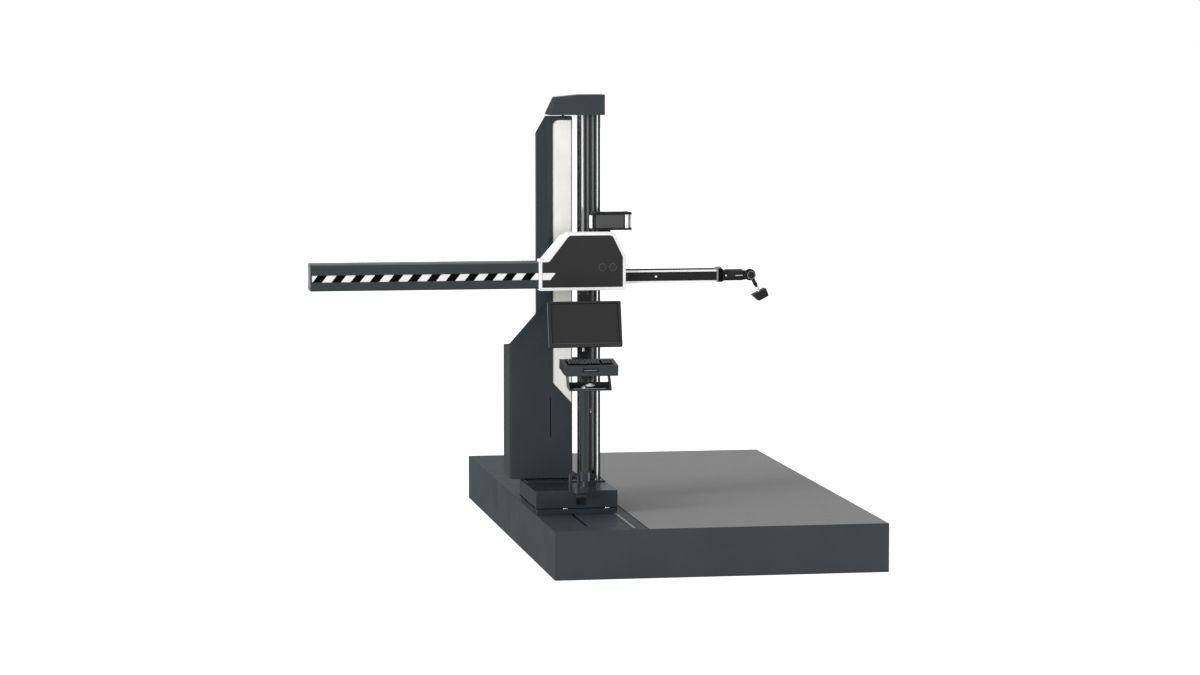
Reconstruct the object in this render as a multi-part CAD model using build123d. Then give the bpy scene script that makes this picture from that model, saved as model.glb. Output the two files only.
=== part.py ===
from build123d import *
from math import cos, pi, radians, sin, tan
import os

# Horizontal arm coordinate measuring machine, in millimetres.
# Origin at the middle of the plate's underside: X along the arm, Y along the guideway, Z up.
# A carriage runs along the plate, the head climbs the column, the arm slides through the head.

# Fits
face_gap = 0.3            # between flat or curved faces that run past each other
running_gap = 0.1         # radial, between a turning pin and its bore
keel_gap = 0.5            # each side of the keel in the slot

# Surface plate
plate_width = 2300
plate_length = 4260
plate_height = 335
plate_edge = 4
guideway_width = 645
guideway_step = 4
slot_centre = 259
slot_width = 24
slot_depth = 80
slot_margin = 235
strip_centre = 552
strip_width = 16
strip_height = 7
strip_margin = 40
strip_hole_pitch = 160
strip_hole = 7

plate_left = -plate_width / 2
plate_front = -plate_length / 2
plate_back = plate_length / 2
deck = plate_height - guideway_step

# Carriage
carriage_inset = 3
carriage_width = 565
carriage_start = 808
carriage_depth = 720
base_lift = 2
base_height = 38
seam = 6
carriage_body_height = 119
cover_left = 8
cover_right = 3
carriage_round = 8
pad_length = 170
pad_width = 110
pad_height = 14
pad_edge = 34
bush_diameter = 24
bush_inset = 20
bush_left = 202
bush_right = 496
keel_length = 340
keel_clear = 13
flange_height = 10
flange_depth = 263
socket_width = 69
socket_height = 49
socket_depth = 26
socket_left = 276
socket_drop = 50

carriage_left = plate_left + carriage_inset
carriage_right = carriage_left + carriage_width
carriage_front = plate_front + carriage_start
carriage_back = carriage_front + carriage_depth
base_bottom = deck + base_lift
base_top = base_bottom + base_height
body_bottom = base_top + seam
carriage_top = body_bottom + carriage_body_height
flange_top = carriage_top + flange_height

# Column
column_centre = 472.75
column_width = 136.5
column_depth = 180
column_wall = 10
column_height = 2564
column_setback = 549
column_groove = 40
column_groove_depth = 6
groove_front = 47
groove_back = 130
drive_shift = 8.75
bar_width = 13.5
bar_thickness = 12
channel_width = 89
channel_depth = 42
trough_width = 18
trough_spacing = 36
trough_start = 45
trough_depth = 32
belt_width = 14
belt_thickness = 5
pulley_radius = 47.5
pulley_width = 13
pulley_shaft = 16
shaft_reach = 52
foot_clear = 3
cam_rise = 661

column_x = carriage_left + column_centre
drive_x = column_x - drive_shift
column_front = carriage_front + column_setback
column_back = column_front + column_depth
column_top = flange_top + column_height
bar_front = column_front - bar_thickness
channel_front = column_front - channel_depth
belt_radius = pulley_radius + face_gap
pulley_y = channel_front + 12 + belt_radius + belt_thickness
pulley_drop = 100
lower_pulley_z = flange_top + pulley_drop
upper_pulley_z = column_top + 62

# Counterweight inside the column
weight_width = 96
weight_height = 420
weight_low = 765

# Tower beside the column
tower_inset = -91
tower_width = 437
tower_depth = 65
tower_narrow = 172
tower_step = 953
tower_shoulder = 1252
tower_gap = 10
tower_setback = 577
tower_foot = 6
tower_foot_size = 40
tower_edge = 4
cabinet_depth = 292
duct_depth = 513
duct_slope_start = 66
duct_slope_drop = 132
duct_foot_rise = 120
cabinet_slope_drop = 30
panel_left = 34
panel_right = 6
panel_top = 26
panel_low_left = 674
panel_low_right = 530
panel_corner = 42
panel_recess = 3
panel_thickness = 6
pull_width = 6
pull_height = 280
pull_low = 295
pull_left = 278

tower_left = carriage_left + tower_inset
tower_right = tower_left + tower_width
tower_front = carriage_front + tower_setback
tower_bottom = flange_top + tower_foot
tower_top = column_top - tower_gap
narrow_left = tower_right - tower_narrow
cabinet_back = tower_front + tower_depth + cabinet_depth

# Cap over the column and the tower
cap_depth = 240
cap_right_margin = 23
cap_left_margin = 1
cap_height = 142
cap_end_height = 125
cap_wall = 6
cap_lean = 45
cap_ramp = 170
cap_front_lead = 45
cap_rear_slope = 90

cap_front = column_front - cap_front_lead - bar_thickness
cap_back = cap_front + cap_depth
cap_left = narrow_left + cap_left_margin
cap_right = column_x + column_width / 2 + cap_right_margin
cap_bottom = column_top
cap_top = cap_bottom + cap_height

# Cable bridge between tower and column
bridge_height = 24
arch_left = 231
arch_width = 80
arch_height = 122
arch_setback = 18
arch_depth = 24
arch_leg = 24
arch_round = 30
bridge_front = tower_front + 10
bridge_back = tower_front + 115

# Head
head_left = carriage_left + 44
head_rise = 1536
head_bottom = plate_height + head_rise
head_width = 607
head_height = 401
head_ledge = 219
head_ledge_width = 52
head_slope_end = 193
head_round_right = 82
head_shoulder = 171
head_lead = 407
shell_depth = 90
shell_wall = 6
shell_edge = 4
frame_margin = 21
front_panel_thickness = 6
front_panel_recess = 1.5
front_panel_seam = 1
body_inset_left = 60
body_inset_right = 50
body_inset_low = 16
body_inset_high = 33
body_front_gap = 20
body_left_run = 143
body_left_drop = 165
body_right_run = 40
body_right_drop = 120
boss_radius = 9

head_right = head_left + head_width
head_top = head_bottom + head_height
head_front = column_front - head_lead
head_body_front = head_front + body_front_gap
saddle_thickness = 20
saddle_wing = 12
saddle_wing_depth = 120
saddle_gap = 2
saddle_pad = 26
glide_height = 110
glide_inset = 25

saddle_front = channel_front - 5 - saddle_thickness
head_body_back = saddle_front

# Arm
arm_height = 62
arm_depth = 100
arm_axis_setback = 100
arm_axis_rise = 86
arm_out = 1257
arm_in = 887
arm_wall = 8
top_rail_height = 12
top_rail_width = 58
cover_strip_height = 8
cover_strip_width = 34
low_rail_height = 17
low_rail_width = 58
end_plate_thickness = 13
arm_flange_thickness = 30
arm_flange_height = 94
clip_width = 40
clip_overlap = 12

arm_y = head_front + arm_axis_setback
arm_z = head_bottom + arm_axis_rise
arm_front = arm_y - arm_depth / 2
arm_back = arm_y + arm_depth / 2
arm_low = arm_z - arm_height / 2
arm_high = arm_z + arm_height / 2
arm_end = head_left + arm_out
arm_start = head_left - arm_in
rail_top = arm_high + top_rail_height
strip_top = rail_top + cover_strip_height
rail_low = arm_low - low_rail_height

# Rear housing that covers the retracted arm
housing_length = 1577
housing_height = 186
housing_depth = 180
housing_wall = 8
housing_round = 12
housing_rise = 13
housing_setback = 20
housing_grip = 73
band_height = 48
band_rise = 62
band_recess = 8
stripe_pitch = 131
stripe_width = 65
stripe_lean = 38
stripe_thickness = 1.5
stripe_first = 57
mark_length = 92
end_cap_thickness = 10

housing_left = head_left - housing_length
housing_right = head_left + housing_grip
housing_front = head_front + housing_setback
housing_back = housing_front + housing_depth
housing_low = head_bottom + housing_rise
housing_high = housing_low + housing_height
band_low = housing_low + band_rise
band_high = band_low + band_height
stripe_count = int((housing_length - stripe_first) // stripe_pitch) + 2

# Push buttons on the front panel
button_diameter = 46
button_proud = 4
button_length = 16
button_left_x = 442
button_right_x = 515
button_rise = 158
button_ring = 3
button_travel = 3

# Interface box over the head
box_left = 388
box_width = 278
box_lug_out = 9
box_low = 409
box_height = 122
box_depth = 150
box_setback = 90
box_plate = 14
box_body_left = 3
box_body_width = 222
box_cheek = 24
box_end_plate = 13
pedestal_width = 85
pedestal_left = 440
pedestal_depth = 70

# Probe head and scanner
probe_radius = 38
probe_length = 152
probe_bar_width = 44
probe_bar_top = 41
rotor_neck = 20
rotor_radius = 34
knuckle_out = 57
knuckle_radius = 31
back_cheek_radius = 41
cheek_thickness = 12
tilt_half = 17
tilt_angle = 62
rod_radius = 10
rod_start = 26
rod_end = 95
collar_end = 111
collar_radius = 13
adapter_end = 127
adapter_radius = 9
scanner_width = 107
scanner_narrow = 79
scanner_height = 59
scanner_depth = 84
scanner_shift = -5
scanner_skew = 7
scanner_round = 6
window_length = 50
window_width = 26

flange_start = arm_end + end_plate_thickness
probe_start = flange_start + arm_flange_thickness
probe_end = probe_start + probe_length
knuckle_x = probe_end + knuckle_out

# Stand for monitor and keyboard
post_width = 42
post_depth = 50
post_x = plate_left + 335
post_gap = 13
bracket_width = 103
bracket_height = 36
bracket_sink = 8
bracket_lug_height = 31
bracket_lug_depth = 48
bracket_depth = 76
pivot_radius = 18
pivot_height = 42
clamp_width = 58
clamp_depth = 66
clamp_height = 68
post_height = 1350
rail_plate_left = 56
rail_plate_right = 26
rail_plate_thickness = 15
rail_plate_low = 1085
rail_plate_high = 1545

post_back = carriage_front - post_gap
post_front = post_back - post_depth
post_y = post_front + post_depth / 2
bracket_bottom = carriage_top - bracket_sink
bracket_top = bracket_bottom + bracket_height
pivot_top = bracket_top + pivot_height
clamp_top = pivot_top + clamp_height
rail_plate_front = post_front - rail_plate_thickness

# Monitor
monitor_width = 508
monitor_height = 318
monitor_thickness = 36
monitor_bezel = 25
monitor_brow = 19
monitor_chin = 29
screen_recess = 4
screen_thickness = 2
monitor_round = 8
monitor_tilt = 15
monitor_rise = 1313
monitor_pin_back = 32
monitor_pin_y = rail_plate_front - 34
monitor_offset = 21
monitor_x = post_x - monitor_offset
monitor_z = plate_height + monitor_rise
ear_spacing = 36
ear_thickness = 10
pin_radius = 7

# Keyboard tray, keyboard, mouse tray and mouse
tray_width = 375
tray_depth = 210
tray_height = 74
tray_tilt = 8
tray_rise = 1084
tray_chamfer = 22
tray_pin_drop = 98
tray_pin_forward = 30
keyboard_width = 316
keyboard_depth = 130
keyboard_height = 8
key_pitch = 20
key_gap = 5
key_height = 8
key_rows = 5
key_columns = 11
pad_columns = 3
slot_recess_width = 115
slot_recess_height = 30
slot_recess_left = 60
slot_recess_drop = 45
mouse_tray_width = 292
mouse_tray_depth = 120
mouse_tray_drop = 104
mouse_tray_wall = 3
mouse_tray_lean = 88
mouse_length = 104
mouse_width = 60
mouse_height = 30
mouse_setback = 80
mouse_shift = 1

tray_z = plate_height + tray_rise
tray_back = rail_plate_front - 2


def block(x0, x1, y0, y1, z0, z1):
    return Pos((x0 + x1) / 2, (y0 + y1) / 2, (z0 + z1) / 2) * Box(x1 - x0, y1 - y0, z1 - z0)


def outline(points, radii):
    face = make_face(Polyline(*points, close=True))
    for point, radius in zip(points, radii):
        if radius:
            corner = face.vertices().sort_by_distance(Vector(*point))[0]
            face = fillet(corner, radius)
    return face


def across(points, radii, y0, y1):
    # an outline in X and Z, carried from y0 to y1
    plane = Plane(origin=(0, y1, 0), x_dir=(1, 0, 0), z_dir=(0, -1, 0))
    return plane.location * extrude(outline(points, radii), y1 - y0)


def along(points, radii, x0, x1):
    # an outline in Y and Z, carried from x0 to x1
    plane = Plane(origin=(x0, 0, 0), x_dir=(0, 1, 0), z_dir=(1, 0, 0))
    return plane.location * extrude(outline(points, radii), x1 - x0)


def upright(points, radii, z0, z1):
    # an outline in X and Y, carried from z0 to z1
    return Pos(0, 0, z0) * extrude(outline(points, radii), z1 - z0)


def rectangle(a0, a1, b0, b1):
    return [(a0, b0), (a1, b0), (a1, b1), (a0, b1)]


def rod_x(x0, x1, y, z, radius):
    return Pos((x0 + x1) / 2, y, z) * Rot(0, 90, 0) * Cylinder(radius, x1 - x0)


def rod_y(y0, y1, x, z, radius):
    return Pos(x, (y0 + y1) / 2, z) * Rot(90, 0, 0) * Cylinder(radius, y1 - y0)


def rod_z(z0, z1, x, y, radius):
    return Pos(x, y, (z0 + z1) / 2) * Cylinder(radius, z1 - z0)


def group(solids):
    return Compound(children=list(solids))


# Surface plate and guideway

def surface_plate():
    edge_x = plate_left + guideway_width
    points = [(plate_left, 0), (-plate_left, 0), (-plate_left, plate_height),
              (edge_x, plate_height), (edge_x, deck), (plate_left, deck)]
    body = across(points, [0] * 6, plate_front, plate_back)
    inner = body.edges().filter_by(Axis.Y).sort_by_distance(Vector(edge_x, 0, deck))[0]
    step = body.edges().filter_by(Axis.Y).sort_by_distance(Vector(edge_x, 0, plate_height))[0]
    uprights = body.edges().filter_by(Axis.Z).filter_by(lambda e: e.length > plate_height / 2)
    long_edges = [e for e in body.edges().filter_by(Axis.Y) if e not in (inner, step)]
    body = chamfer(list(uprights) + long_edges, plate_edge)
    slot = block(plate_left + slot_centre - slot_width / 2, plate_left + slot_centre + slot_width / 2,
                 plate_front + slot_margin, plate_back - slot_margin, deck - slot_depth, deck + 1)
    return body - slot


def scale_strip():
    x = plate_left + strip_centre
    y0 = plate_front + strip_margin
    y1 = plate_back - strip_margin
    strip = block(x - strip_width / 2, x + strip_width / 2, y0, y1, deck, deck + strip_height)
    count = int((y1 - y0 - strip_hole_pitch) // strip_hole_pitch) + 1
    first = (y0 + y1 - (count - 1) * strip_hole_pitch) / 2
    holes = [rod_z(deck, deck + strip_height, x, first + i * strip_hole_pitch, strip_hole / 2)
             for i in range(count)]
    return strip - holes


# Carriage

def pad_places():
    x_left = carriage_left + pad_edge + pad_width / 2
    x_right = plate_left + strip_centre - strip_width / 2 - pad_edge / 2 - pad_width / 2
    y_front = carriage_front + pad_edge + pad_length / 2
    y_back = carriage_back - pad_edge - pad_length / 2
    return [(x, y) for x in (x_left, x_right) for y in (y_front, y_back)]


def glide_pad(x, y):
    return block(x - pad_width / 2, x + pad_width / 2, y - pad_length / 2, y + pad_length / 2,
                 deck + face_gap, deck + face_gap + pad_height)


def glide_pads():
    return group(glide_pad(x, y) for x, y in pad_places())


def carriage_base():
    body = upright(rectangle(carriage_left, carriage_right, carriage_front, carriage_back),
                   [carriage_round] * 4, base_bottom, base_top)
    strip_left = plate_left + strip_centre - strip_width / 2
    rebate = block(strip_left - 2, carriage_right + 1, carriage_front - 1, carriage_back + 1,
                   base_bottom - 1, deck + strip_height + 2)
    body = body - rebate
    for x, y in pad_places():
        body = body - glide_pad(x, y)
    return body + guide_keel()


def guide_keel():
    x = plate_left + slot_centre
    half = slot_width / 2 - keel_gap
    y = (carriage_front + carriage_back) / 2
    low = deck - slot_depth + keel_clear
    points = rectangle(y - keel_length / 2, y + keel_length / 2, low, base_bottom)
    return along(points, [12, 12, 0, 0], x - half, x + half)


def seam_bushes():
    x_left = plate_left + bush_left
    x_right = plate_left + bush_right
    y_front = carriage_front + bush_inset
    y_back = carriage_back - bush_inset
    y_middle = (y_front + y_back) / 2
    places = [(x_left, y_front), (x_right, y_front), (x_left, y_back), (x_right, y_back),
              (carriage_left + bush_inset, y_middle), (carriage_right - bush_inset, y_middle)]
    return group(rod_z(base_top, body_bottom, x, y, bush_diameter / 2) for x, y in places)


def socket_place():
    x = carriage_left + socket_left
    z = carriage_top - socket_drop
    return x, x + socket_width, z - socket_height, z


def carriage_body():
    points = rectangle(carriage_left - cover_left, carriage_right + cover_right, carriage_front, carriage_back)
    body = upright(points, [carriage_round] * 4, body_bottom, carriage_top)
    body = fillet(body.faces().sort_by(Axis.Z)[-1].edges(), carriage_round / 2)
    x0, x1, z0, z1 = socket_place()
    return body - block(x0, x1, carriage_front - 1, carriage_front + socket_depth, z0, z1)


def front_socket():
    x0, x1, z0, z1 = socket_place()
    shell = across(rectangle(x0, x1, z0, z1), [2] * 4, carriage_front - 2, carriage_front + socket_depth)
    return shell - block(x0 + 5, x1 - 5, carriage_front - 3, carriage_front + 12, z0 + 5, z1 - 5)


def column_flange():
    points = rectangle(carriage_left + 3, carriage_right - 3, carriage_back - flange_depth, carriage_back - 3)
    body = upright(points, [carriage_round] * 4, carriage_top, flange_top)
    return chamfer(body.faces().sort_by(Axis.Z)[-1].edges(), 1.5)


# Column and its belt drive

def column_beam():
    x0 = column_x - column_width / 2
    x1 = column_x + column_width / 2
    outer = upright(rectangle(x0, x1, column_front, column_back), [3] * 4, flange_top, column_top)
    inner = block(x0 + column_wall, x1 - column_wall, column_front + column_wall,
                  column_back - column_wall, flange_top - 1, column_top + 1)
    body = outer - inner
    for centre in (column_front + groove_front, column_front + groove_back):
        y0 = centre - column_groove / 2
        y1 = centre + column_groove / 2
        body = body - block(x0 - 1, x0 + column_groove_depth, y0, y1, flange_top - 1, column_top + 1)
        body = body - block(x1 - column_groove_depth, x1 + 1, y0, y1, flange_top - 1, column_top + 1)
    return body - foot_opening()


def foot_opening():
    # lets the lower wheels reach through the channel and the beam's front wall
    half = pulley_width / 2 + 1
    reach = belt_radius + belt_thickness + foot_clear
    cuts = []
    for side in (-1, 1):
        x = drive_x + side * trough_spacing / 2
        cuts.append(block(x - half, x + half, channel_front + trough_depth - 1, column_front + column_wall + 1,
                          lower_pulley_z - reach, lower_pulley_z + reach))
    return cuts


def guide_bars():
    bars = []
    for side in (-1, 1):
        x0 = drive_x + side * channel_width / 2
        x1 = x0 + side * bar_width
        bars.append(block(min(x0, x1), max(x0, x1), bar_front, column_front, flange_top, column_top))
    return group(bars)


def column_channel():
    x0 = drive_x - channel_width / 2
    x1 = drive_x + channel_width / 2
    body = upright(rectangle(x0, x1, channel_front, column_front), [3, 3, 0, 0], flange_top, column_top)
    for side in (-1, 1):
        x = drive_x + side * trough_spacing / 2
        body = body - block(x - trough_width / 2, x + trough_width / 2, channel_front - 1,
                            channel_front + trough_depth, flange_top + trough_start, column_top + 1)
    return body - foot_opening()


def lift_belt(x):
    outer = belt_radius + belt_thickness
    points = rectangle(pulley_y - outer, pulley_y + outer, lower_pulley_z - outer, upper_pulley_z + outer)
    loop = along(points, [outer - 0.01] * 4, x - belt_width / 2, x + belt_width / 2)
    hole = rectangle(pulley_y - belt_radius, pulley_y + belt_radius,
                     lower_pulley_z - belt_radius, upper_pulley_z + belt_radius)
    return loop - along(hole, [belt_radius - 0.01] * 4, x - belt_width, x + belt_width)


def lift_belts():
    return group(lift_belt(drive_x + side * trough_spacing / 2) for side in (-1, 1))


def pulley_pair(z):
    shaft = rod_x(column_x - shaft_reach, column_x + shaft_reach, pulley_y, z, pulley_shaft / 2)
    for side in (-1, 1):
        x = drive_x + side * trough_spacing / 2
        wheel = rod_x(x - pulley_width / 2, x + pulley_width / 2, pulley_y, z, pulley_radius)
        lightening = [rod_x(x - pulley_width, x + pulley_width, pulley_y + 29 * cos(radians(a)),
                            z + 29 * sin(radians(a)), 9) for a in range(0, 360, 60)]
        shaft = shaft + (wheel - lightening)
    return shaft


def pulley_ears(z, inner, outer, y0, low, high):
    # two ears that carry the ends of a pulley shaft
    bore = rod_x(column_x - 70, column_x + 70, pulley_y, z, pulley_shaft / 2 + running_gap)
    ears = []
    for side in (-1, 1):
        x0 = column_x + side * inner
        x1 = column_x + side * outer
        ears.append(block(min(x0, x1), max(x0, x1), y0, pulley_y + 18, low, high) - bore)
    return ears


def pulley_brackets():
    cavity = column_width / 2 - column_wall
    upper = pulley_ears(upper_pulley_z, shaft_reach - 10, cavity + 6, pulley_y - 18, column_top, upper_pulley_z + 18)
    lower = pulley_ears(lower_pulley_z, cavity - 12, cavity, column_front + column_wall, flange_top,
                        lower_pulley_z + 18)
    return group(upper + lower)


def counterweight():
    y0 = pulley_y + belt_radius + belt_thickness + face_gap
    y1 = column_back - column_wall - 3
    z0 = flange_top + weight_low
    half = weight_width / 2
    return upright(rectangle(column_x - half, column_x + half, y0, y1), [6] * 4, z0, z0 + weight_height)


# Tower

def tower_points(inset_left, inset_right, inset_low, inset_high):
    return [(tower_left + inset_left, tower_bottom + inset_low),
            (tower_right - inset_right, tower_bottom + inset_low),
            (tower_right - inset_right, tower_top - inset_high),
            (narrow_left + inset_left, tower_top - inset_high),
            (narrow_left + inset_left, tower_bottom + tower_shoulder),
            (tower_left + inset_left, tower_bottom + tower_step)]


def panel_points(gap):
    x0 = narrow_left + panel_left + gap
    x1 = tower_right - panel_right - gap
    return [(x0, tower_bottom + panel_low_left + 2 * gap), (x1, tower_bottom + panel_low_right + 3 * gap),
            (x1, tower_top - panel_top - gap), (x0, tower_top - panel_top - gap)]


def tower_front_cover():
    body = across(tower_points(0, 0, 0, 0), [2, 2, 2, 2, 20, 12], tower_front, tower_front + tower_depth)
    body = fillet(body.faces().sort_by(Axis.Y)[0].edges(), tower_edge)
    recess = across(panel_points(0), [0, 0, 0, panel_corner], tower_front - 1, tower_front + panel_thickness)
    x = tower_left + pull_left
    pull = block(x, x + pull_width, tower_front - 1, tower_front + 12,
                 tower_bottom + pull_low, tower_bottom + pull_low + pull_height)
    return body - recess - pull


def light_panel():
    return across(panel_points(1), [0, 0, 0, panel_corner - 1], tower_front + panel_recess,
                  tower_front + panel_thickness)


def tower_cabinet():
    y0 = tower_front + tower_depth
    top = tower_bottom + tower_step
    points = [(y0, tower_bottom), (cabinet_back, tower_bottom),
              (cabinet_back, top - cabinet_slope_drop), (y0, top)]
    body = along(points, [0, 6, 12, 0], tower_left, tower_right)
    body = body - block(tower_left + 12, tower_right - 12, cabinet_back - 4, cabinet_back + 1,
                        tower_bottom + 30, top - cabinet_slope_drop - 30)
    return body + tower_duct()


def rear_cover():
    top = tower_bottom + tower_step - cabinet_slope_drop
    door = across(rectangle(tower_left + 13, tower_right - 13, tower_bottom + 31, top - 31), [3] * 4,
                  cabinet_back - 4, cabinet_back + 2)
    slots = [block(tower_left + 130, tower_right - 130, cabinet_back - 1, cabinet_back + 3,
                   tower_bottom + 120 + 22 * i, tower_bottom + 128 + 22 * i) for i in range(8)]
    screws = [rod_y(cabinet_back, cabinet_back + 4, x, z, 6) for x in (tower_left + 25, tower_right - 25)
              for z in (tower_bottom + 45, top - 45)]
    return door - slots + screws


def tower_duct():
    y0 = tower_front + tower_depth
    low = tower_bottom + tower_step
    back = y0 + duct_depth
    points = [(y0, low - 60), (cabinet_back - 30, low - 60), (back, low + duct_foot_rise),
              (back, tower_top - duct_slope_drop), (y0 + duct_slope_start, tower_top), (y0, tower_top)]
    return along(points, [0, 0, 12, 12, 12, 0], narrow_left, tower_right)


def tower_feet():
    half = tower_foot_size / 2
    places = [(carriage_left + 60, tower_front + 30), (carriage_left + 150, tower_front + 30),
              (tower_right - 40, tower_front + 30), (carriage_left + 60, carriage_back - 40),
              (tower_right - 40, carriage_back - 40)]
    feet = [block(x - half, x + half, y - half / 2, y + half, flange_top, tower_bottom) for x, y in places]
    return group(feet + [cap_pin()])


def cable_bridge():
    points = rectangle(tower_right, column_x - column_width / 2, flange_top, flange_top + bridge_height)
    return group([across(points, [0, 0, 4, 4], bridge_front, bridge_back), cable_arch()])


def cable_arch():
    # the low arch beside the stand, on the carriage top
    x0 = carriage_left + arch_left
    x1 = x0 + arch_width
    y0 = carriage_front + arch_setback
    z1 = carriage_top + arch_height
    body = across(rectangle(x0, x1, carriage_top, z1), [0, 0, arch_round, arch_round], y0, y0 + arch_depth)
    window = across(rectangle(x0 + arch_leg, x1 - arch_leg, carriage_top - 1, z1 - arch_leg), [0, 0, 8, 8],
                    y0 - 1, y0 + arch_depth + 1)
    return fillet((body - window).edges().filter_by(Axis.Y, reverse=True).filter_by(
        lambda e: e.center().Z > carriage_top + 5), 5)


def cap_outline(inset):
    return [(cap_left + inset, cap_bottom + inset), (cap_right - inset, cap_bottom + inset),
            (cap_right - inset, cap_top - inset), (cap_left + cap_lean + cap_ramp, cap_top - inset),
            (cap_left + cap_lean + inset, cap_bottom + cap_end_height - inset)]


def top_cap():
    body = across(cap_outline(0), [0, 0, 3, 40, 16], cap_front, cap_back)
    wedge = along([(cap_back - cap_rear_slope, cap_top + 1), (cap_back + 1, cap_bottom + 20),
                   (cap_back + 1, cap_top + 1)], [0] * 3, cap_left - 1, cap_right + 1)
    body = body - wedge
    inner = across(cap_outline(cap_wall), [0] * 5, cap_front + cap_wall, cap_back - cap_wall)
    inner_wedge = along([(cap_back - cap_rear_slope - 2 * cap_wall, cap_top), (cap_back, cap_bottom - 2),
                         (cap_back, cap_top)], [0] * 3, cap_left - 1, cap_right + 1)
    half = column_width / 2 - column_wall + 7
    window = block(column_x - half, column_x + half, channel_front, column_back - column_wall,
                   cap_bottom - 1, cap_bottom + cap_wall + 1)
    return body - (inner - inner_wedge) - window


def cap_pin():
    return rod_z(tower_top, cap_bottom, tower_right - 60, tower_front + 40, 8)


def home_cam():
    x = drive_x
    z = plate_height + cam_rise
    base = block(x - 9, x + 9, channel_front - 9, channel_front, z - 14, z + 14)
    return fillet(base.edges().filter_by(Axis.Y), 4) + rod_y(channel_front - 16, channel_front - 9, x, z + 5, 5)


# Head

def head_points(inset):
    return [(head_left + inset, head_bottom + inset), (head_right - inset, head_bottom + inset),
            (head_right - inset, head_bottom + head_height - head_shoulder),
            (head_right - head_round_right - inset * 0.6, head_top - inset),
            (head_left + head_slope_end + inset * 0.8, head_top - inset),
            (head_left + head_ledge_width + inset * 0.8, head_bottom + head_ledge - inset),
            (head_left + inset, head_bottom + head_ledge - inset)]


shell_radii = [10, 10, 25, 45, 45, 25, 8]
inner_radii = [6, 6, 15, 35, 35, 30, 4]


def front_panel_points(gap):
    return head_points(frame_margin + gap)


def head_shell():
    body = across(head_points(0), shell_radii, head_front, head_front + shell_depth)
    body = fillet(body.faces().sort_by(Axis.Y)[0].edges(), shell_edge)
    hollow = across(head_points(shell_wall), [4, 4, 19, 39, 39, 31, 2],
                    head_front + front_panel_recess + front_panel_thickness + 4, head_front + shell_depth + 1)
    recess = across(front_panel_points(0), inner_radii, head_front - 1,
                    head_front + front_panel_recess + front_panel_thickness)
    body = body - hollow - recess
    body = body - block(head_left - 1, head_left + shell_wall + 1, housing_front - 1,
                        head_front + shell_depth + 1, housing_low - 1, housing_high + 1)
    body = body - block(head_right - shell_wall - 1, head_right + 1, arm_front - 6,
                        head_front + shell_depth + 1, rail_low - 8, strip_top + 8)
    return body - button_bores(0.5) + shell_bosses()


def shell_bosses():
    places = [(0.25, 0.1), (0.86, 0.1), (0.39, 0.82), (0.79, 0.82)]
    return [rod_y(head_front + front_panel_recess + front_panel_thickness + 2, head_body_front,
                  head_left + a * head_width, head_bottom + b * head_height, boss_radius) for a, b in places]


def button_bores(gap):
    return [rod_y(head_front - 1, head_front + 30, head_left + x, head_bottom + button_rise,
                  button_diameter / 2 + gap) for x in (button_left_x, button_right_x)]


def front_panel():
    y0 = head_front + front_panel_recess
    body = across(front_panel_points(front_panel_seam), inner_radii, y0, y0 + front_panel_thickness)
    return chamfer(body.faces().sort_by(Axis.Y)[0].edges(), 1) - button_bores(0.5)


def button_rings():
    y = head_front + front_panel_recess
    rings = []
    for x in (button_left_x, button_right_x):
        outer = rod_y(y - 2, y, head_left + x, head_bottom + button_rise, button_diameter / 2 + 3.5)
        rings.append(outer - button_bores(0.5))
    return group(rings)


def button(x):
    y = head_front + front_panel_recess - button_proud
    cap = rod_y(y, y + button_length, head_left + x, head_bottom + button_rise, button_diameter / 2)
    dish = Pos(head_left + x, y - 60, head_bottom + button_rise) * Sphere(61.5)
    return fillet(cap.faces().sort_by(Axis.Y)[0].edges(), 1.5) - dish


def head_body():
    x0 = head_left + body_inset_left
    x1 = head_right - body_inset_right
    z0 = head_bottom + body_inset_low
    z1 = head_top - body_inset_high
    points = [(x0, z0), (x1, z0), (x1, z1 - body_right_drop), (x1 - body_right_run, z1),
              (x0 + body_left_run, z1), (x0, z1 - body_left_drop)]
    body = across(points, [8, 8, 20, 20, 20, 20], head_body_front, head_body_back)
    tunnel_low = rail_low - face_gap
    tunnel_high = strip_top + face_gap
    tunnel = block(x0 - 1, x1 + 1, arm_front - face_gap, arm_back + face_gap, tunnel_low, tunnel_high)
    pocket = block(x0 - 1, housing_right, housing_front, housing_back, housing_low, housing_high)
    return body - tunnel - pocket


def head_saddle():
    half = column_width / 2 + saddle_gap + saddle_wing
    inner = column_width / 2 + saddle_gap
    z0 = head_bottom + body_inset_low + 8
    z1 = head_top - body_inset_high - 8
    y1 = column_front + saddle_wing_depth
    points = [(column_x - half, saddle_front), (column_x + half, saddle_front), (column_x + half, y1),
              (column_x + inner, y1), (column_x + inner, saddle_front + saddle_thickness),
              (column_x - inner, saddle_front + saddle_thickness), (column_x - inner, y1), (column_x - half, y1)]
    relief = block(drive_x - 15, drive_x + 15, saddle_front + 6, saddle_front + saddle_thickness + 1, z0 - 1, z1 + 1)
    return upright(points, [6, 6, 4, 0, 2, 2, 0, 4], z0, z1) - relief


def glide_blocks():
    blocks = []
    y0 = saddle_front + saddle_thickness
    y1 = bar_front - face_gap
    low = head_bottom + body_inset_low + glide_inset
    high = head_top - body_inset_high - glide_inset - glide_height
    for z in (low, high):
        for side in (-1, 1):
            inner = drive_x + side * (channel_width / 2 + 3)
            outer = drive_x + side * (channel_width / 2 + bar_width)
            blocks.append(block(min(inner, outer), max(inner, outer), y0, y1, z, z + glide_height))
            x0 = column_x + side * (column_width / 2 + face_gap)
            x1 = column_x + side * (column_width / 2 + saddle_gap)
            blocks.append(block(min(x0, x1), max(x0, x1), column_front + 75, column_front + 100, z, z + glide_height))
    return group(blocks)


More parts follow.
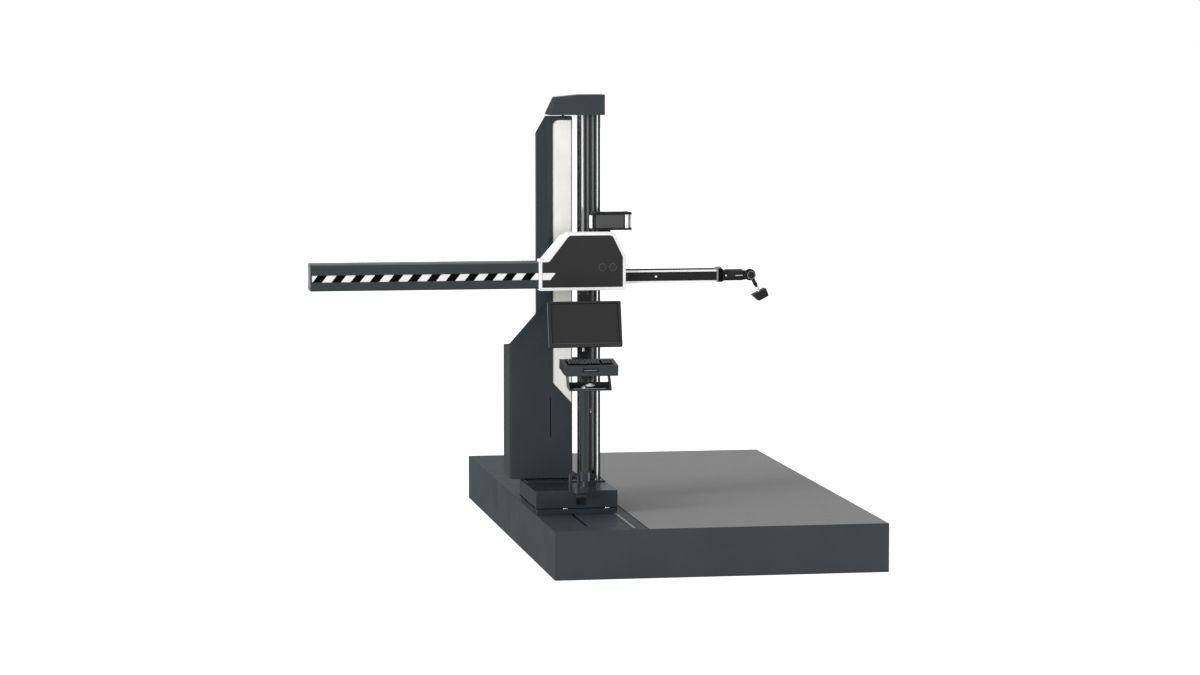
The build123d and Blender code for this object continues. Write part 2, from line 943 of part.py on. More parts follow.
# Rear housing and its striped band

def housing_profile():
    recess = housing_front + band_recess
    return [(housing_front, housing_low), (housing_back, housing_low), (housing_back, housing_high),
            (housing_front, housing_high), (housing_front, band_high), (recess, band_high),
            (recess, band_low), (housing_front, band_low)]


def rear_housing():
    body = along(housing_profile(), [housing_round] * 4 + [0] * 4, housing_left + end_cap_thickness, housing_right)
    inner_front = housing_front + band_recess + housing_wall
    hollow = block(housing_left - 1, housing_right + 1, inner_front, housing_back - housing_wall,
                   housing_low + housing_wall, housing_high - housing_wall)
    return body - hollow


def housing_end_cap():
    plug_front = housing_front + band_recess + housing_wall + face_gap
    cap = along(housing_profile(), [housing_round] * 4 + [0] * 4, housing_left, housing_left + end_cap_thickness)
    plug = block(housing_left + end_cap_thickness, housing_left + end_cap_thickness + 12, plug_front,
                 housing_back - housing_wall - face_gap, housing_low + housing_wall + face_gap,
                 housing_high - housing_wall - face_gap)
    return fillet(cap.faces().sort_by(Axis.X)[0].edges().filter_by(Axis.Y), 2) + plug


def stripe(x, y1, right_limit, left_limit):
    points = [(x, band_low), (x + stripe_width, band_low), (x + stripe_width + stripe_lean, band_high),
              (x + stripe_lean, band_high)]
    shape = across(points, [0] * 4, y1 - stripe_thickness, y1)
    window = block(left_limit, right_limit, y1 - 20, y1 + 20, band_low, band_high)
    return shape & window


def hazard_stripes():
    y1 = housing_front + band_recess
    left_limit = housing_left + end_cap_thickness + 2
    first = head_left - stripe_first
    stripes = [stripe(first - i * stripe_pitch, y1, head_left - 1, left_limit) for i in range(stripe_count)]
    stripes.append(panel_mark())
    return group(s for s in stripes if s and s.volume > 1)


def panel_mark():
    y1 = head_front + front_panel_recess
    x0 = head_left + frame_margin + 2
    points = [(x0, band_low), (x0 + mark_length - stripe_lean, band_low), (x0 + mark_length, band_high),
              (x0, band_high)]
    return across(points, [0, 6, 3, 0], y1 - 0.6, y1)


# Interface box over the head

def box_place():
    x0 = head_left + box_left
    z0 = head_bottom + box_low
    y0 = head_front + box_setback
    return x0, x0 + box_width, y0, y0 + box_depth, z0, z0 + box_height


def box_plates():
    x0, x1, y0, y1, z0, z1 = box_place()
    bottom = upright(rectangle(x0, x1, y0, y1), [12] * 4, z0, z0 + box_plate)
    top = upright(rectangle(x0 + 2, x1, y0, y1), [12] * 4, z1 - box_plate, z1)
    return group([bottom + box_pedestal(), top])


def box_body():
    x0, x1, y0, y1, z0, z1 = box_place()
    left = x0 + box_body_left
    points = rectangle(left, left + box_body_width, y0 + 6, y1 - 6)
    body = upright(points, [34, 6, 6, 34], z0 + box_plate, z1 - box_plate)
    slits = [block(left + 60, left + box_body_width - 40, y1 - 8, y1 + 1, z0 + box_plate + 16 + 12 * i,
                   z0 + box_plate + 21 + 12 * i) for i in range(6)]
    return body - slits


def box_cheeks():
    x0, x1, y0, y1, z0, z1 = box_place()
    right = x0 + box_body_left + box_body_width + 6
    cheek = upright(rectangle(right, right + box_cheek, y0 + 4, y1 - 4), [4] * 4, z0 + box_plate, z1 - box_plate)
    lug = upright(rectangle(x0 - box_lug_out, x0 + box_body_left, y0 + 20, y1 - 70), [2] * 4, z0 + box_plate,
                  z1 - box_plate - 6)
    end = block(x1 - box_end_plate, x1 - 1, y0 + 14, y1 - 14, z0 + box_plate, z1 - box_plate)
    return group([cheek, lug, end])


def box_pedestal():
    x0 = head_left + pedestal_left
    y = head_front + box_setback + box_depth / 2
    z0 = head_top - body_inset_high
    z1 = head_bottom + box_low
    points = rectangle(x0, x0 + pedestal_width, y - pedestal_depth / 2, y + pedestal_depth / 2)
    return upright(points, [20] * 4, z0, z1)


# Arm

def arm_beam():
    body = along(rectangle(arm_front, arm_back, arm_low, arm_high), [4] * 4, arm_start, arm_end)
    return body - block(arm_start - 1, arm_end - 20, arm_front + arm_wall, arm_back - arm_wall,
                        arm_low + arm_wall, arm_high - arm_wall)


def arm_rails():
    top = block(arm_start, arm_end, arm_front + 3, arm_front + 3 + top_rail_width, arm_high, rail_top)
    low = block(arm_start, arm_end, arm_front + 3, arm_front + 3 + low_rail_width, rail_low, arm_low)
    return group([top, low])


def arm_cover_strip():
    y0 = arm_front + 3 + top_rail_width - cover_strip_width
    return block(arm_start, arm_end - clip_overlap - 2, y0, y0 + cover_strip_width, rail_top, strip_top)


def arm_flange():
    z0 = arm_z + 3 - arm_flange_height / 2
    points = rectangle(arm_front - 1, arm_back + 1, z0, z0 + arm_flange_height)
    body = along(points, [14] * 4, flange_start, probe_start)
    return body - block(probe_start - 9, probe_start - 6, arm_front - 2, arm_front + 3, z0 + 10, z0 + 84)


def arm_clip():
    # the silver end plate and the clip over the flange
    high = arm_z + 3 + arm_flange_height / 2
    low = arm_z + 3 - arm_flange_height / 2
    x0 = arm_end - clip_overlap
    x1 = probe_start - 6
    points = [(x0, high), (x1, high), (x1, high + 12), (x0 + 20, high + 12), (x0, high + 3)]
    clip = across(points, [0, 0, 3, 4, 0], arm_y - 36, arm_y - 36 + clip_width)
    plate = along(rectangle(arm_front - 1, arm_back + 1, low, high), [14] * 4, arm_end, flange_start)
    return clip + plate


# Probe head

def probe_body():
    barrel = rod_x(probe_start, probe_end, arm_y, arm_z, probe_radius)
    collar = rod_x(probe_start, probe_start + 16, arm_y, arm_z, probe_radius + 3)
    body = chamfer(barrel.faces().sort_by(Axis.X)[-1].edges(), 2)
    body = body + chamfer(collar.edges().filter_by(GeomType.CIRCLE), 1)
    bar = block(probe_start + 27, probe_end - 6, arm_y - probe_bar_width / 2, arm_y + probe_bar_width / 2,
                arm_z + 20, arm_z + probe_bar_top)
    bar = chamfer(bar.faces().sort_by(Axis.Z)[-1].edges(), 2)
    notch = block(probe_end - 48, probe_end - 41, arm_y - 60, arm_y + 60, arm_z - 60, arm_z - probe_radius + 5)
    ring = rod_x(probe_end - 10, probe_end - 7, arm_y, arm_z, 60)
    ring = ring - rod_x(probe_end - 11, probe_end - 6, arm_y, arm_z, probe_radius - 2)
    return body - notch - ring + bar


def probe_rotor():
    x0 = probe_end + face_gap
    neck = rod_x(x0, x0 + rotor_neck, arm_y, arm_z, rotor_radius)
    body = chamfer(neck.edges().filter_by(GeomType.CIRCLE), 2)
    for side in (-1, 1):
        y0 = arm_y + side * (tilt_half + face_gap)
        y1 = y0 + side * cheek_thickness
        radius = knuckle_radius if side < 0 else back_cheek_radius
        cheek = rod_y(min(y0, y1), max(y0, y1), knuckle_x, arm_z, radius)
        web = block(x0 + 8, knuckle_x, min(y0, y1), max(y0, y1), arm_z - 20, arm_z + 24)
        body = body + cheek + web
    return body - rod_y(arm_y - 60, arm_y + 60, knuckle_x, arm_z, pin_radius + running_gap)


def tilted(shape):
    # a shape drawn along +X from the knuckle, turned down to the rest angle
    return Pos(knuckle_x, arm_y, arm_z) * Rot(0, tilt_angle, 0) * shape


def probe_knuckle():
    disc = Rot(90, 0, 0) * Cylinder(knuckle_radius - 4, 2 * tilt_half)
    stem = Pos((rod_start + 34) / 2, 0, 0) * Rot(0, 90, 0) * Cylinder(15, 34 - rod_start + 8)
    pin = Rot(90, 0, 0) * Cylinder(pin_radius, 2 * (tilt_half + cheek_thickness) + 4)
    body = disc + stem + pin
    return tilted(body)


def scanner_adapter():
    steps = [(38, rod_end, rod_radius), (rod_end, collar_end, collar_radius), (collar_end, adapter_end, adapter_radius)]
    solids = [Pos((a + b) / 2, 0, 0) * Rot(0, 90, 0) * Cylinder(radius, b - a) for a, b, radius in steps]
    return tilted(solids[0] + solids[1] + solids[2])


def scanner_points():
    top = scanner_width / 2
    low = scanner_narrow / 2
    far = adapter_end + scanner_height
    # local X runs down the rod, local Z to the side
    return [(adapter_end, scanner_shift - top), (far, scanner_shift - low + scanner_skew), (far, scanner_shift + low + scanner_skew),
            (adapter_end, scanner_shift + top)]


def scanner_body():
    half = scanner_depth / 2
    body = across(scanner_points(), [scanner_round] * 4, -half, half)
    body = fillet(body.faces().sort_by(Axis.Y)[0].edges(), 4)
    body = fillet(body.faces().sort_by(Axis.Y)[-1].edges(), 4)
    far = adapter_end + scanner_height
    window = block(far - 4, far + 1, -window_width / 2, window_width / 2, scanner_shift - window_length / 2 + 4,
                   scanner_shift + window_length / 2 + 4)
    return tilted(body - window)


def scanner_window():
    far = adapter_end + scanner_height
    window = block(far - 4, far - 1, -window_width / 2, window_width / 2, scanner_shift - window_length / 2 + 4,
                   scanner_shift + window_length / 2 + 4)
    return tilted(window)


# Stand

def post_bracket():
    x1 = post_x + post_width / 2 + 6
    x0 = x1 - bracket_width
    y0 = carriage_front - bracket_depth
    body = upright(rectangle(x0, x1, y0, carriage_front), [20, 20, 0, 0], bracket_bottom, bracket_top)
    body = fillet(body.faces().sort_by(Axis.Z)[-1].edges().filter_by(lambda e: e.center().Y < carriage_front - 1), 5)
    left, right, low, high = socket_place()
    lug = block(left, right, carriage_front - bracket_lug_depth, carriage_front, bracket_bottom - bracket_lug_height,
                bracket_bottom)
    slit = block(left + 6, right - 6, carriage_front - bracket_lug_depth - 1, carriage_front - 20,
                 bracket_bottom - 7, bracket_bottom - 1)
    return body + lug - slit


def post_rectangle(gap):
    half = post_width / 2 + gap
    return rectangle(post_x - half, post_x + half, post_front - gap, post_back + gap)


def post_clamp():
    points = rectangle(post_x - clamp_width / 2, post_x + clamp_width / 2, post_y - clamp_depth / 2,
                       post_y + clamp_depth / 2)
    body = upright(points, [6] * 4, pivot_top, clamp_top)
    body = body - upright(post_rectangle(0), [0] * 4, pivot_top + 12, clamp_top + 1)
    slit = block(post_x + 20, post_x + 40, post_y - 2, post_y + 2, pivot_top + 12, clamp_top + 1)
    screws = [rod_x(post_x + clamp_width / 2, post_x + clamp_width / 2 + 5, post_y - 18, z, 5)
              for z in (pivot_top + 28, pivot_top + 58)]
    pivot = rod_z(bracket_top + face_gap, pivot_top, post_x, post_y, pivot_radius)
    return body - slit + screws + chamfer(pivot.faces().sort_by(Axis.Z)[0].edges(), 1.5)


def monitor_post():
    z0 = pivot_top + 12
    z1 = bracket_top + post_height
    outer = upright(post_rectangle(0), [3] * 4, z0, z1)
    inner = upright(post_rectangle(-4), [0] * 4, z0 - 1, z1 + 1)
    groove = block(post_x - 5, post_x + 5, post_front - 1, post_front + 3, clamp_top + 20, z1 + 1)
    return outer - inner - groove + upright(post_rectangle(0), [3] * 4, z1, z1 + 5)


def monitor_rail():
    points = rectangle(post_x - rail_plate_left, post_x + rail_plate_right, plate_height + rail_plate_low,
                       plate_height + rail_plate_high)
    plate = across(points, [4] * 4, rail_plate_front, post_front)
    body = plate
    for side in (-1, 1):
        x0 = monitor_x + side * ear_spacing / 2
        x1 = x0 + side * ear_thickness
        ear = along([(monitor_pin_y - 14, monitor_z - 14), (rail_plate_front, monitor_z - 34),
                     (rail_plate_front, monitor_z + 34), (monitor_pin_y - 14, monitor_z + 14)],
                    [13, 0, 0, 13], min(x0, x1), max(x0, x1))
        body = body + ear
    return body - rod_x(monitor_x - 60, monitor_x + 60, monitor_pin_y, monitor_z, pin_radius + running_gap)


def leaned(shape):
    # a shape drawn about the hinge pin, leaned back by the monitor's rest tilt
    return Pos(monitor_x, monitor_pin_y, monitor_z) * Rot(-monitor_tilt, 0, 0) * shape


def monitor_face():
    return -monitor_pin_back - monitor_thickness


def monitor_case():
    y0 = monitor_face()
    half_w = monitor_width / 2
    half_h = monitor_height / 2
    body = across(rectangle(-half_w, half_w, -half_h, half_h), [monitor_round] * 4, y0, y0 + monitor_thickness)
    body = fillet(body.faces().sort_by(Axis.Y)[0].edges(), 2)
    body = fillet(body.faces().sort_by(Axis.Y)[-1].edges(), 10)
    depth = screen_recess + screen_thickness
    points = rectangle(-half_w + monitor_bezel, half_w - monitor_bezel, -half_h + monitor_chin, half_h - monitor_brow)
    plane = Plane(origin=(0, y0 + depth, 0), x_dir=(1, 0, 0), z_dir=(0, -1, 0))
    opening = plane.location * extrude(outline(points, [0] * 4), depth + 1, taper=-35)
    slots = [block(-150 + 12 * i, -144 + 12 * i, y0 + monitor_thickness - 3, y0 + monitor_thickness + 1, 90, 120)
             for i in range(26)]
    boss_half = ear_spacing / 2 - face_gap
    boss = block(-boss_half, boss_half, y0 + monitor_thickness, 0, -16, 16) + rod_x(-boss_half, boss_half, 0, 0, 16)
    pin = rod_x(-boss_half - ear_thickness - 4, boss_half + ear_thickness + 4, 0, 0, pin_radius)
    return leaned(body - opening - slots + boss + pin)


def monitor_screen():
    y0 = monitor_face()
    half_w = monitor_width / 2 - monitor_bezel
    return leaned(block(-half_w, half_w, y0 + screen_recess, y0 + screen_recess + screen_thickness,
                        -monitor_height / 2 + monitor_chin, monitor_height / 2 - monitor_brow))


# Keyboard tray

tray_pin_y = tray_back - tray_pin_forward
tray_pin_z = tray_z - tray_pin_drop


def sloped(shape):
    # a shape drawn about the tray's hinge pin, tipped forward by its rest tilt
    return Pos(post_x, tray_pin_y, tray_pin_z) * Rot(tray_tilt, 0, 0) * shape


def tray_bracket():
    body = block(post_x - 34, post_x + 34, rail_plate_front, post_front, tray_pin_z - 40, tray_pin_z + 32)
    for side in (-1, 1):
        x0 = post_x + side * 22
        x1 = x0 + side * 10
        ear = along([(tray_pin_y - 13, tray_pin_z - 12), (rail_plate_front, tray_pin_z - 36),
                     (rail_plate_front, tray_pin_z + 20), (tray_pin_y - 13, tray_pin_z + 12)],
                    [12, 0, 0, 12], min(x0, x1), max(x0, x1))
        body = body + ear
    return body - rod_x(post_x - 60, post_x + 60, tray_pin_y, tray_pin_z, pin_radius + running_gap)


def tray_low():
    return tray_pin_drop - tray_height


def tray_shelf():
    z0 = tray_low()
    z1 = tray_pin_drop
    y1 = tray_pin_forward - 10
    y0 = y1 - tray_depth
    half = tray_width / 2
    points = [(-half + tray_chamfer, z0), (half, z0), (half, z1), (-half, z1), (-half, z0 + 12)]
    body = across(points, [3, 3, 3, 3, 3], y0, y1)
    body = fillet(body.faces().sort_by(Axis.Y)[0].edges(), 2.5)
    well = block(-keyboard_width / 2 - 1, keyboard_width / 2 + 1, y0 + 24, y0 + 26 + keyboard_depth,
                 z1 - keyboard_height, z1 + 1)
    recess = block(-slot_recess_left, -slot_recess_left + slot_recess_width, y0 - 1, y0 + 14,
                   z1 - slot_recess_drop, z1 - slot_recess_drop + slot_recess_height)
    boss = rod_x(-21.7, 21.7, 0, 0, 15) + block(-21.7, 21.7, -15, 15, 0, z1 - keyboard_height - 4)
    pin = rod_x(-37, 37, 0, 0, pin_radius)
    return sloped(body - well - recess + boss + pin)


def keyboard_place():
    y0 = tray_pin_forward - 10 - tray_depth + 25
    return y0, y0 + keyboard_depth, tray_pin_drop - keyboard_height


def keyboard_case():
    y0, y1, z0 = keyboard_place()
    half = keyboard_width / 2
    base = z0 + keyboard_height + 2
    return upright(rectangle(-half, half, y0, y1), [5] * 4, z0, base), base


def keyboard():
    y0, y1, z0 = keyboard_place()
    case, base = keyboard_case()
    left = -keyboard_width / 2 + 8
    keys = []
    for row in range(key_rows):
        y = y0 + 9 + row * (key_pitch + 3)
        for column in range(key_columns + pad_columns):
            gap = 14 if column >= key_columns else 0
            x = left + column * key_pitch + gap
            wide = row == 0 and 3 <= column <= 6
            if wide and column > 3:
                continue
            width = (4 if wide else 1) * key_pitch - key_gap
            key = block(x, x + width, y, y + key_pitch - key_gap, base, base + key_height)
            keys.append(key)
    return sloped(case + keys)


def mouse_tray():
    z0 = tray_low() - mouse_tray_drop
    half = mouse_tray_width / 2
    y0 = tray_pin_forward - 10 - tray_depth + 6
    y1 = y0 + mouse_tray_depth
    wall = mouse_tray_wall
    floor = block(-half, half, y0, y1, z0, z0 + wall)
    back = block(-half, half, y1 - wall, y1, z0, z0 + 34)
    lip = block(-half, half, y0, y0 + wall, z0, z0 + 10)
    body = floor + back + lip
    for side in (-1, 1):
        x0 = side * half
        x1 = side * (half - wall)
        top = tray_low()
        arm = along([(y0, z0), (y1, z0), (y1 + 12, z0 + 12), (y1 + mouse_tray_lean - 8, top),
                     (y0 + mouse_tray_lean, top), (y0, z0 + 12)], [3, 0, 6, 0, 0, 6], min(x0, x1), max(x0, x1))
        body = body + arm
    return sloped(body)


def mouse():
    z0 = tray_low() - mouse_tray_drop + mouse_tray_wall
    y0 = tray_pin_forward - 10 - tray_depth + 6
    y = y0 + mouse_setback
    dome = Pos(mouse_shift, y, z0) * scale(Sphere(1), (mouse_length / 2, mouse_width / 2, mouse_height))
    cut = block(-80, 80, y - 60, y + 60, z0 - 60, z0)
    tail = across([(mouse_shift - 60, z0 + 2), (mouse_shift + 16, z0 + mouse_height + 1), (mouse_shift + 16, z0 + 80),
                   (mouse_shift - 60, z0 + 80)], [0] * 4, y - 60, y + 60)
    return sloped(dome - cut - tail)


parts = {
    "surface_plate": surface_plate,
    "scale_strip": scale_strip,
    "carriage_base": carriage_base,
    "glide_pads": glide_pads,
    "seam_bushes": seam_bushes,
    "carriage_body": carriage_body,
    "front_socket": front_socket,
    "column_flange": column_flange,
    "column_beam": column_beam,
    "guide_bars": guide_bars,
    "column_channel": column_channel,
    "lift_belts": lift_belts,
    "upper_pulleys": lambda: pulley_pair(upper_pulley_z),
    "lower_pulleys": lambda: pulley_pair(lower_pulley_z),
    "pulley_brackets": pulley_brackets,
    "counterweight": counterweight,
    "tower_front_cover": tower_front_cover,
    "light_panel": light_panel,
    "tower_cabinet": tower_cabinet,
    "rear_cover": rear_cover,
    "tower_feet": tower_feet,
    "cable_bridge": cable_bridge,
    "top_cap": top_cap,
    "home_cam": home_cam,
    "head_shell": head_shell,
    "front_panel": front_panel,
    "button_rings": button_rings,
    "button_left": lambda: button(button_left_x),
    "button_right": lambda: button(button_right_x),
    "head_body": head_body,
    "head_saddle": head_saddle,
    "glide_blocks": glide_blocks,
    "rear_housing": rear_housing,
    "housing_end_cap": housing_end_cap,
    "hazard_stripes": hazard_stripes,
    "box_plates": box_plates,
    "box_body": box_body,
    "box_cheeks": box_cheeks,
    "arm_beam": arm_beam,
    "arm_rails": arm_rails,
    "arm_cover_strip": arm_cover_strip,
    "arm_flange": arm_flange,
    "arm_clip": arm_clip,
    "probe_body": probe_body,
    "probe_rotor": probe_rotor,
    "probe_knuckle": probe_knuckle,
    "scanner_adapter": scanner_adapter,
    "scanner_body": scanner_body,
    "scanner_window": scanner_window,
    "post_bracket": post_bracket,
    "post_clamp": post_clamp,
    "monitor_post": monitor_post,
    "monitor_rail": monitor_rail,
    "monitor_case": monitor_case,
    "monitor_screen": monitor_screen,
    "tray_bracket": tray_bracket,
    "tray_shelf": tray_shelf,
    "keyboard": keyboard,
    "mouse_tray": mouse_tray,
    "mouse": mouse,
}

os.makedirs("parts", exist_ok=True)
for name, make in parts.items():
    export_step(make(), f"parts/{name}.step")
print(len(parts), "parts")
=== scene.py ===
import bmesh
import bpy
import math
from mathutils import Matrix, Vector


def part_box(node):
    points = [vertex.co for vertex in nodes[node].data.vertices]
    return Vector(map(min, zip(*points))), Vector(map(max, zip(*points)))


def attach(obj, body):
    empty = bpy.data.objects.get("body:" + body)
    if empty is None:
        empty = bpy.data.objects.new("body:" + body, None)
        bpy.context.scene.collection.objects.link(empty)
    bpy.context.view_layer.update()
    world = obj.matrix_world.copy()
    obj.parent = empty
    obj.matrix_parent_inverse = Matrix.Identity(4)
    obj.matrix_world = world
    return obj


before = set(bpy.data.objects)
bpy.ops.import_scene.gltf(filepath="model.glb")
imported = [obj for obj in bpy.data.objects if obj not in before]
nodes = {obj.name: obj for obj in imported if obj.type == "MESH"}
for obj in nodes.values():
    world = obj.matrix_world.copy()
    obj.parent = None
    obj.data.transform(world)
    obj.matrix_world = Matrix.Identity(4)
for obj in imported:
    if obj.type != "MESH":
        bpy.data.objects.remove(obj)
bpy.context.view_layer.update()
print("frame loaded:", len(nodes), "pieces")


# Materials

finishes = {
    "workFace": {"color": (0.274, 0.274, 0.276), "fleck": (0.326, 0.326, 0.328), "deep": (0.232, 0.232, 0.234),
                 "roughness": 0.7, "specular": 0.03},
    "plate": {"color": (0.036, 0.042, 0.047), "roughness": 0.42, "grain": 700, "bump": 0.04, "specular": 0.25},
    # painted shade: the guideway's top gets its own lighter copy of the plate paint, without sheen, for the light
    # that falls on faces that look up
    "guideTopShading": {"color": (0.050, 0.056, 0.061), "roughness": 0.5, "grain": 700, "bump": 0.02, "specular": 0.02},
    # painted light: a lighter copy of the plate paint, without sheen, for the sides, where the light falls
    # differently
    "plateSideShading": {"color": (0.052, 0.057, 0.061), "roughness": 0.6, "grain": 700, "bump": 0.04, "specular": 0},
    "cover": {"color": (0.029, 0.037, 0.042), "roughness": 0.46, "grain": 900, "bump": 0.05, "specular": 0.2},
    "cabinet": {"color": (0.052, 0.054, 0.054), "roughness": 0.6, "grain": 900, "bump": 0.05, "specular": 0},
    # the darker tone of the cabinet's upper part, also used as painted shade on the side faces of other pieces
    "ductAndSideShading": {"color": (0.029, 0.033, 0.036), "roughness": 0.6, "grain": 900, "bump": 0.05, "specular": 0},
    "ductEdge": {"color": (0.052, 0.056, 0.058), "roughness": 0.6, "grain": 900, "bump": 0.05, "specular": 0},
    "capPaint": {"color": (0.038, 0.046, 0.051), "roughness": 0.46, "grain": 900, "bump": 0.05, "specular": 0.2},
    # painted shade: a sheenless copy of the cap paint for its sides
    "capSideShading": {"color": (0.045, 0.046, 0.048), "roughness": 0.6, "grain": 900, "bump": 0.05, "specular": 0},
    "trayPaint": {"color": (0.036, 0.042, 0.046), "roughness": 0.46, "grain": 900, "bump": 0.05, "specular": 0.2},
    "carriagePaint": {"color": (0.021, 0.028, 0.033), "roughness": 0.3, "grain": 800, "bump": 0.03,
                      "specular": 0.25},
    # painted shade: a copy of the carriage paint for faces that look up, with its sheen taken off so the top stays
    # dark
    "carriageTopShading": {"color": (0.022, 0.029, 0.034), "roughness": 0.3, "grain": 800, "bump": 0.01,
                    "specular": 0.02},
    # painted highlight on the carriage's rounded top front edge
    "carriageEdgeHighlight": {"color": (0.075, 0.083, 0.088), "roughness": 0.6, "grain": 800, "bump": 0.02, "specular": 0},
    # painted light: a lighter copy of the carriage paint, without sheen, for the faces that look aside
    "carriageSideShading": {"color": (0.042, 0.046, 0.050), "roughness": 0.6, "grain": 800, "bump": 0.03, "specular": 0},
    "machined": {"color": (0.028, 0.032, 0.035), "roughness": 0.4, "grain": 500, "bump": 0.05, "specular": 0.25},
    "column": {"color": (0.035, 0.041, 0.042), "roughness": 0.38, "grain": 700, "bump": 0.04, "specular": 0.3},
    # painted reflection: a near-white tone on the column's side rib stands for the sheen of that side and lightens it
    # in the shadow of the tower
    "columnRibSheen": {"color": (0.80, 0.805, 0.81), "roughness": 0.5, "grain": 700, "bump": 0.04, "specular": 0.1},
    "columnFront": {"color": (0.018, 0.021, 0.022), "roughness": 0.42, "grain": 700, "bump": 0.04,
                    "specular": 0.15},
    "housing": {"color": (0.035, 0.042, 0.045), "roughness": 0.44, "grain": 900, "bump": 0.05, "specular": 0.2},
    # painted highlight on the housing's rounded top front edge
    "housingEdgeHighlight": {"color": (0.11, 0.118, 0.12), "roughness": 0.4, "grain": 900, "bump": 0.02, "specular": 0.3},
    "box": {"color": (0.076, 0.077, 0.078), "roughness": 0.45, "grain": 900, "bump": 0.05, "specular": 0.2},
    "boxEdge": {"color": (0.018, 0.018, 0.019), "roughness": 0.6, "grain": 900, "bump": 0.04, "specular": 0.02},
    "armCover": {"color": (0.018, 0.018, 0.018), "roughness": 0.6, "grain": 900, "bump": 0.03, "specular": 0},
    "arm": {"color": (0.013, 0.013, 0.013), "roughness": 0.45, "grain": 900, "bump": 0.03, "specular": 0.15},
    # near black, also used as painted shade on the walls round the monitor's screen
    "bandAndShade": {"color": (0.004, 0.004, 0.004), "roughness": 0.6, "grain": 600, "bump": 0.03, "specular": 0.02},
    "panelBlack": {"color": (0.022, 0.022, 0.022), "roughness": 0.5, "grain": 1400, "bump": 0.06,
                   "specular": 0.2},
    "plastic": {"color": (0.016, 0.017, 0.018), "roughness": 0.5, "grain": 1600, "bump": 0.08, "specular": 0.3},
    "probe": {"color": (0.018, 0.018, 0.018), "roughness": 0.5, "grain": 1200, "bump": 0.05, "specular": 0.12},
    # light grey of the key tops, also used as the painted highlight on the monitor's recess wall
    "keyTop": {"color": (0.150, 0.152, 0.152), "roughness": 0.6, "grain": 1600, "bump": 0.05, "specular": 0.05},
    "rubber": {"color": (0.012, 0.012, 0.012), "roughness": 0.75, "grain": 1200, "bump": 0.1, "specular": 0.2},
    # painted shade: near-black tone for the strips that stand for the shade in the carriage's seam
    "seamShade": {"color": (0.008, 0.008, 0.009), "roughness": 0.8, "grain": 1200, "bump": 0.1, "specular": 0},
    # light grey of the glide parts, also used for painted highlights on the clamp, the probe and the mouse basket's
    # lip
    "glideAndHighlight": {"color": (0.22, 0.23, 0.24), "roughness": 0.5, "grain": 800, "bump": 0.05, "specular": 0.4},
    "shellWhite": {"color": (0.96, 0.96, 0.96), "roughness": 0.4, "grain": 500, "bump": 0.02, "specular": 0.3},
    # white marking tone, also used for painted highlights in the seam's front and on the home cam
    "markAndHighlight": {"color": (0.97, 0.97, 0.97), "roughness": 0.45, "grain": 900, "bump": 0.02, "specular": 0.3},
    "cream": {"color": (0.93, 0.915, 0.875), "roughness": 0.42, "grain": 500, "bump": 0.02, "specular": 0.3},
    "belt": {"color": (0.48, 0.49, 0.49), "roughness": 0.7, "grain": 1200, "bump": 0.1, "specular": 0.2},
    "screen": {"color": (0.018, 0.018, 0.018), "roughness": 0.3, "grain": 300, "bump": 0.0, "specular": 0.25},
    "lens": {"color": (0.05, 0.008, 0.012), "roughness": 0.08, "grain": 300, "bump": 0.0, "specular": 0.5},
    # painted reflection: the near-white colour of the guide bars stands partly for the white room that they reflect
    "steelPaintedSheen": {"color": (0.99, 0.99, 0.99), "roughness": 0.14, "along": "Z", "metallic": 0.6},
    "groundSteel": {"color": (0.15, 0.152, 0.155), "roughness": 0.45, "along": "Y", "metallic": 0.7},
    "railSilver": {"color": (0.94, 0.94, 0.94), "roughness": 0.4, "along": "X", "metallic": 0.35},
    "turned": {"color": (0.62, 0.63, 0.65), "roughness": 0.3, "along": "X", "metallic": 1},
    # dark steel, also used as painted shade on the guide bars' left faces
    "blackSteelAndShade": {"color": (0.10, 0.105, 0.11), "roughness": 0.35, "along": "Y", "metallic": 1},
    "iron": {"color": (0.10, 0.10, 0.11), "roughness": 0.6, "grain": 300, "bump": 0.2, "specular": 0.3},
}


def startMaterial(name):
    material = bpy.data.materials.new(name)
    material.use_nodes = True
    tree = material.node_tree
    shader = tree.nodes["Principled BSDF"]
    place = tree.nodes.new("ShaderNodeTexCoord")
    return material, tree, shader, place.outputs["Object"]


def noise(tree, vector, scale, detail=3.0):
    node = tree.nodes.new("ShaderNodeTexNoise")
    node.inputs["Scale"].default_value = scale
    node.inputs["Detail"].default_value = detail
    tree.links.new(vector, node.inputs["Vector"])
    return node.outputs["Fac"]


noiseRange = (0.3, 0.7)  # what a noise seldom leaves


def spread(tree, value, low, high):
    node = tree.nodes.new("ShaderNodeMapRange")
    node.inputs["From Min"].default_value = noiseRange[0]
    node.inputs["From Max"].default_value = noiseRange[1]
    node.inputs["To Min"].default_value = low
    node.inputs["To Max"].default_value = high
    tree.links.new(value, node.inputs["Value"])
    return node.outputs["Result"]


def blendColors(tree, factor, first, second):
    # either color may be a socket in place of three numbers
    node = tree.nodes.new("ShaderNodeMix")
    node.data_type = "RGBA"
    for side, color in (("A", first), ("B", second)):
        if isinstance(color, tuple):
            node.inputs[side].default_value = (*color, 1)
        else:
            tree.links.new(color, node.inputs[side])
    tree.links.new(factor, node.inputs["Factor"])
    return node.outputs["Result"]


def varyRoughness(tree, shader, value, roughness, sway):
    less, more = sway
    tree.links.new(spread(tree, value, roughness - less, roughness + more), shader.inputs["Roughness"])


def addBump(tree, shader, height, strength, distance=0.0005):
    node = tree.nodes.new("ShaderNodeBump")
    node.inputs["Strength"].default_value = strength
    node.inputs["Distance"].default_value = distance
    tree.links.new(height, node.inputs["Height"])
    tree.links.new(node.outputs["Normal"], shader.inputs["Normal"])


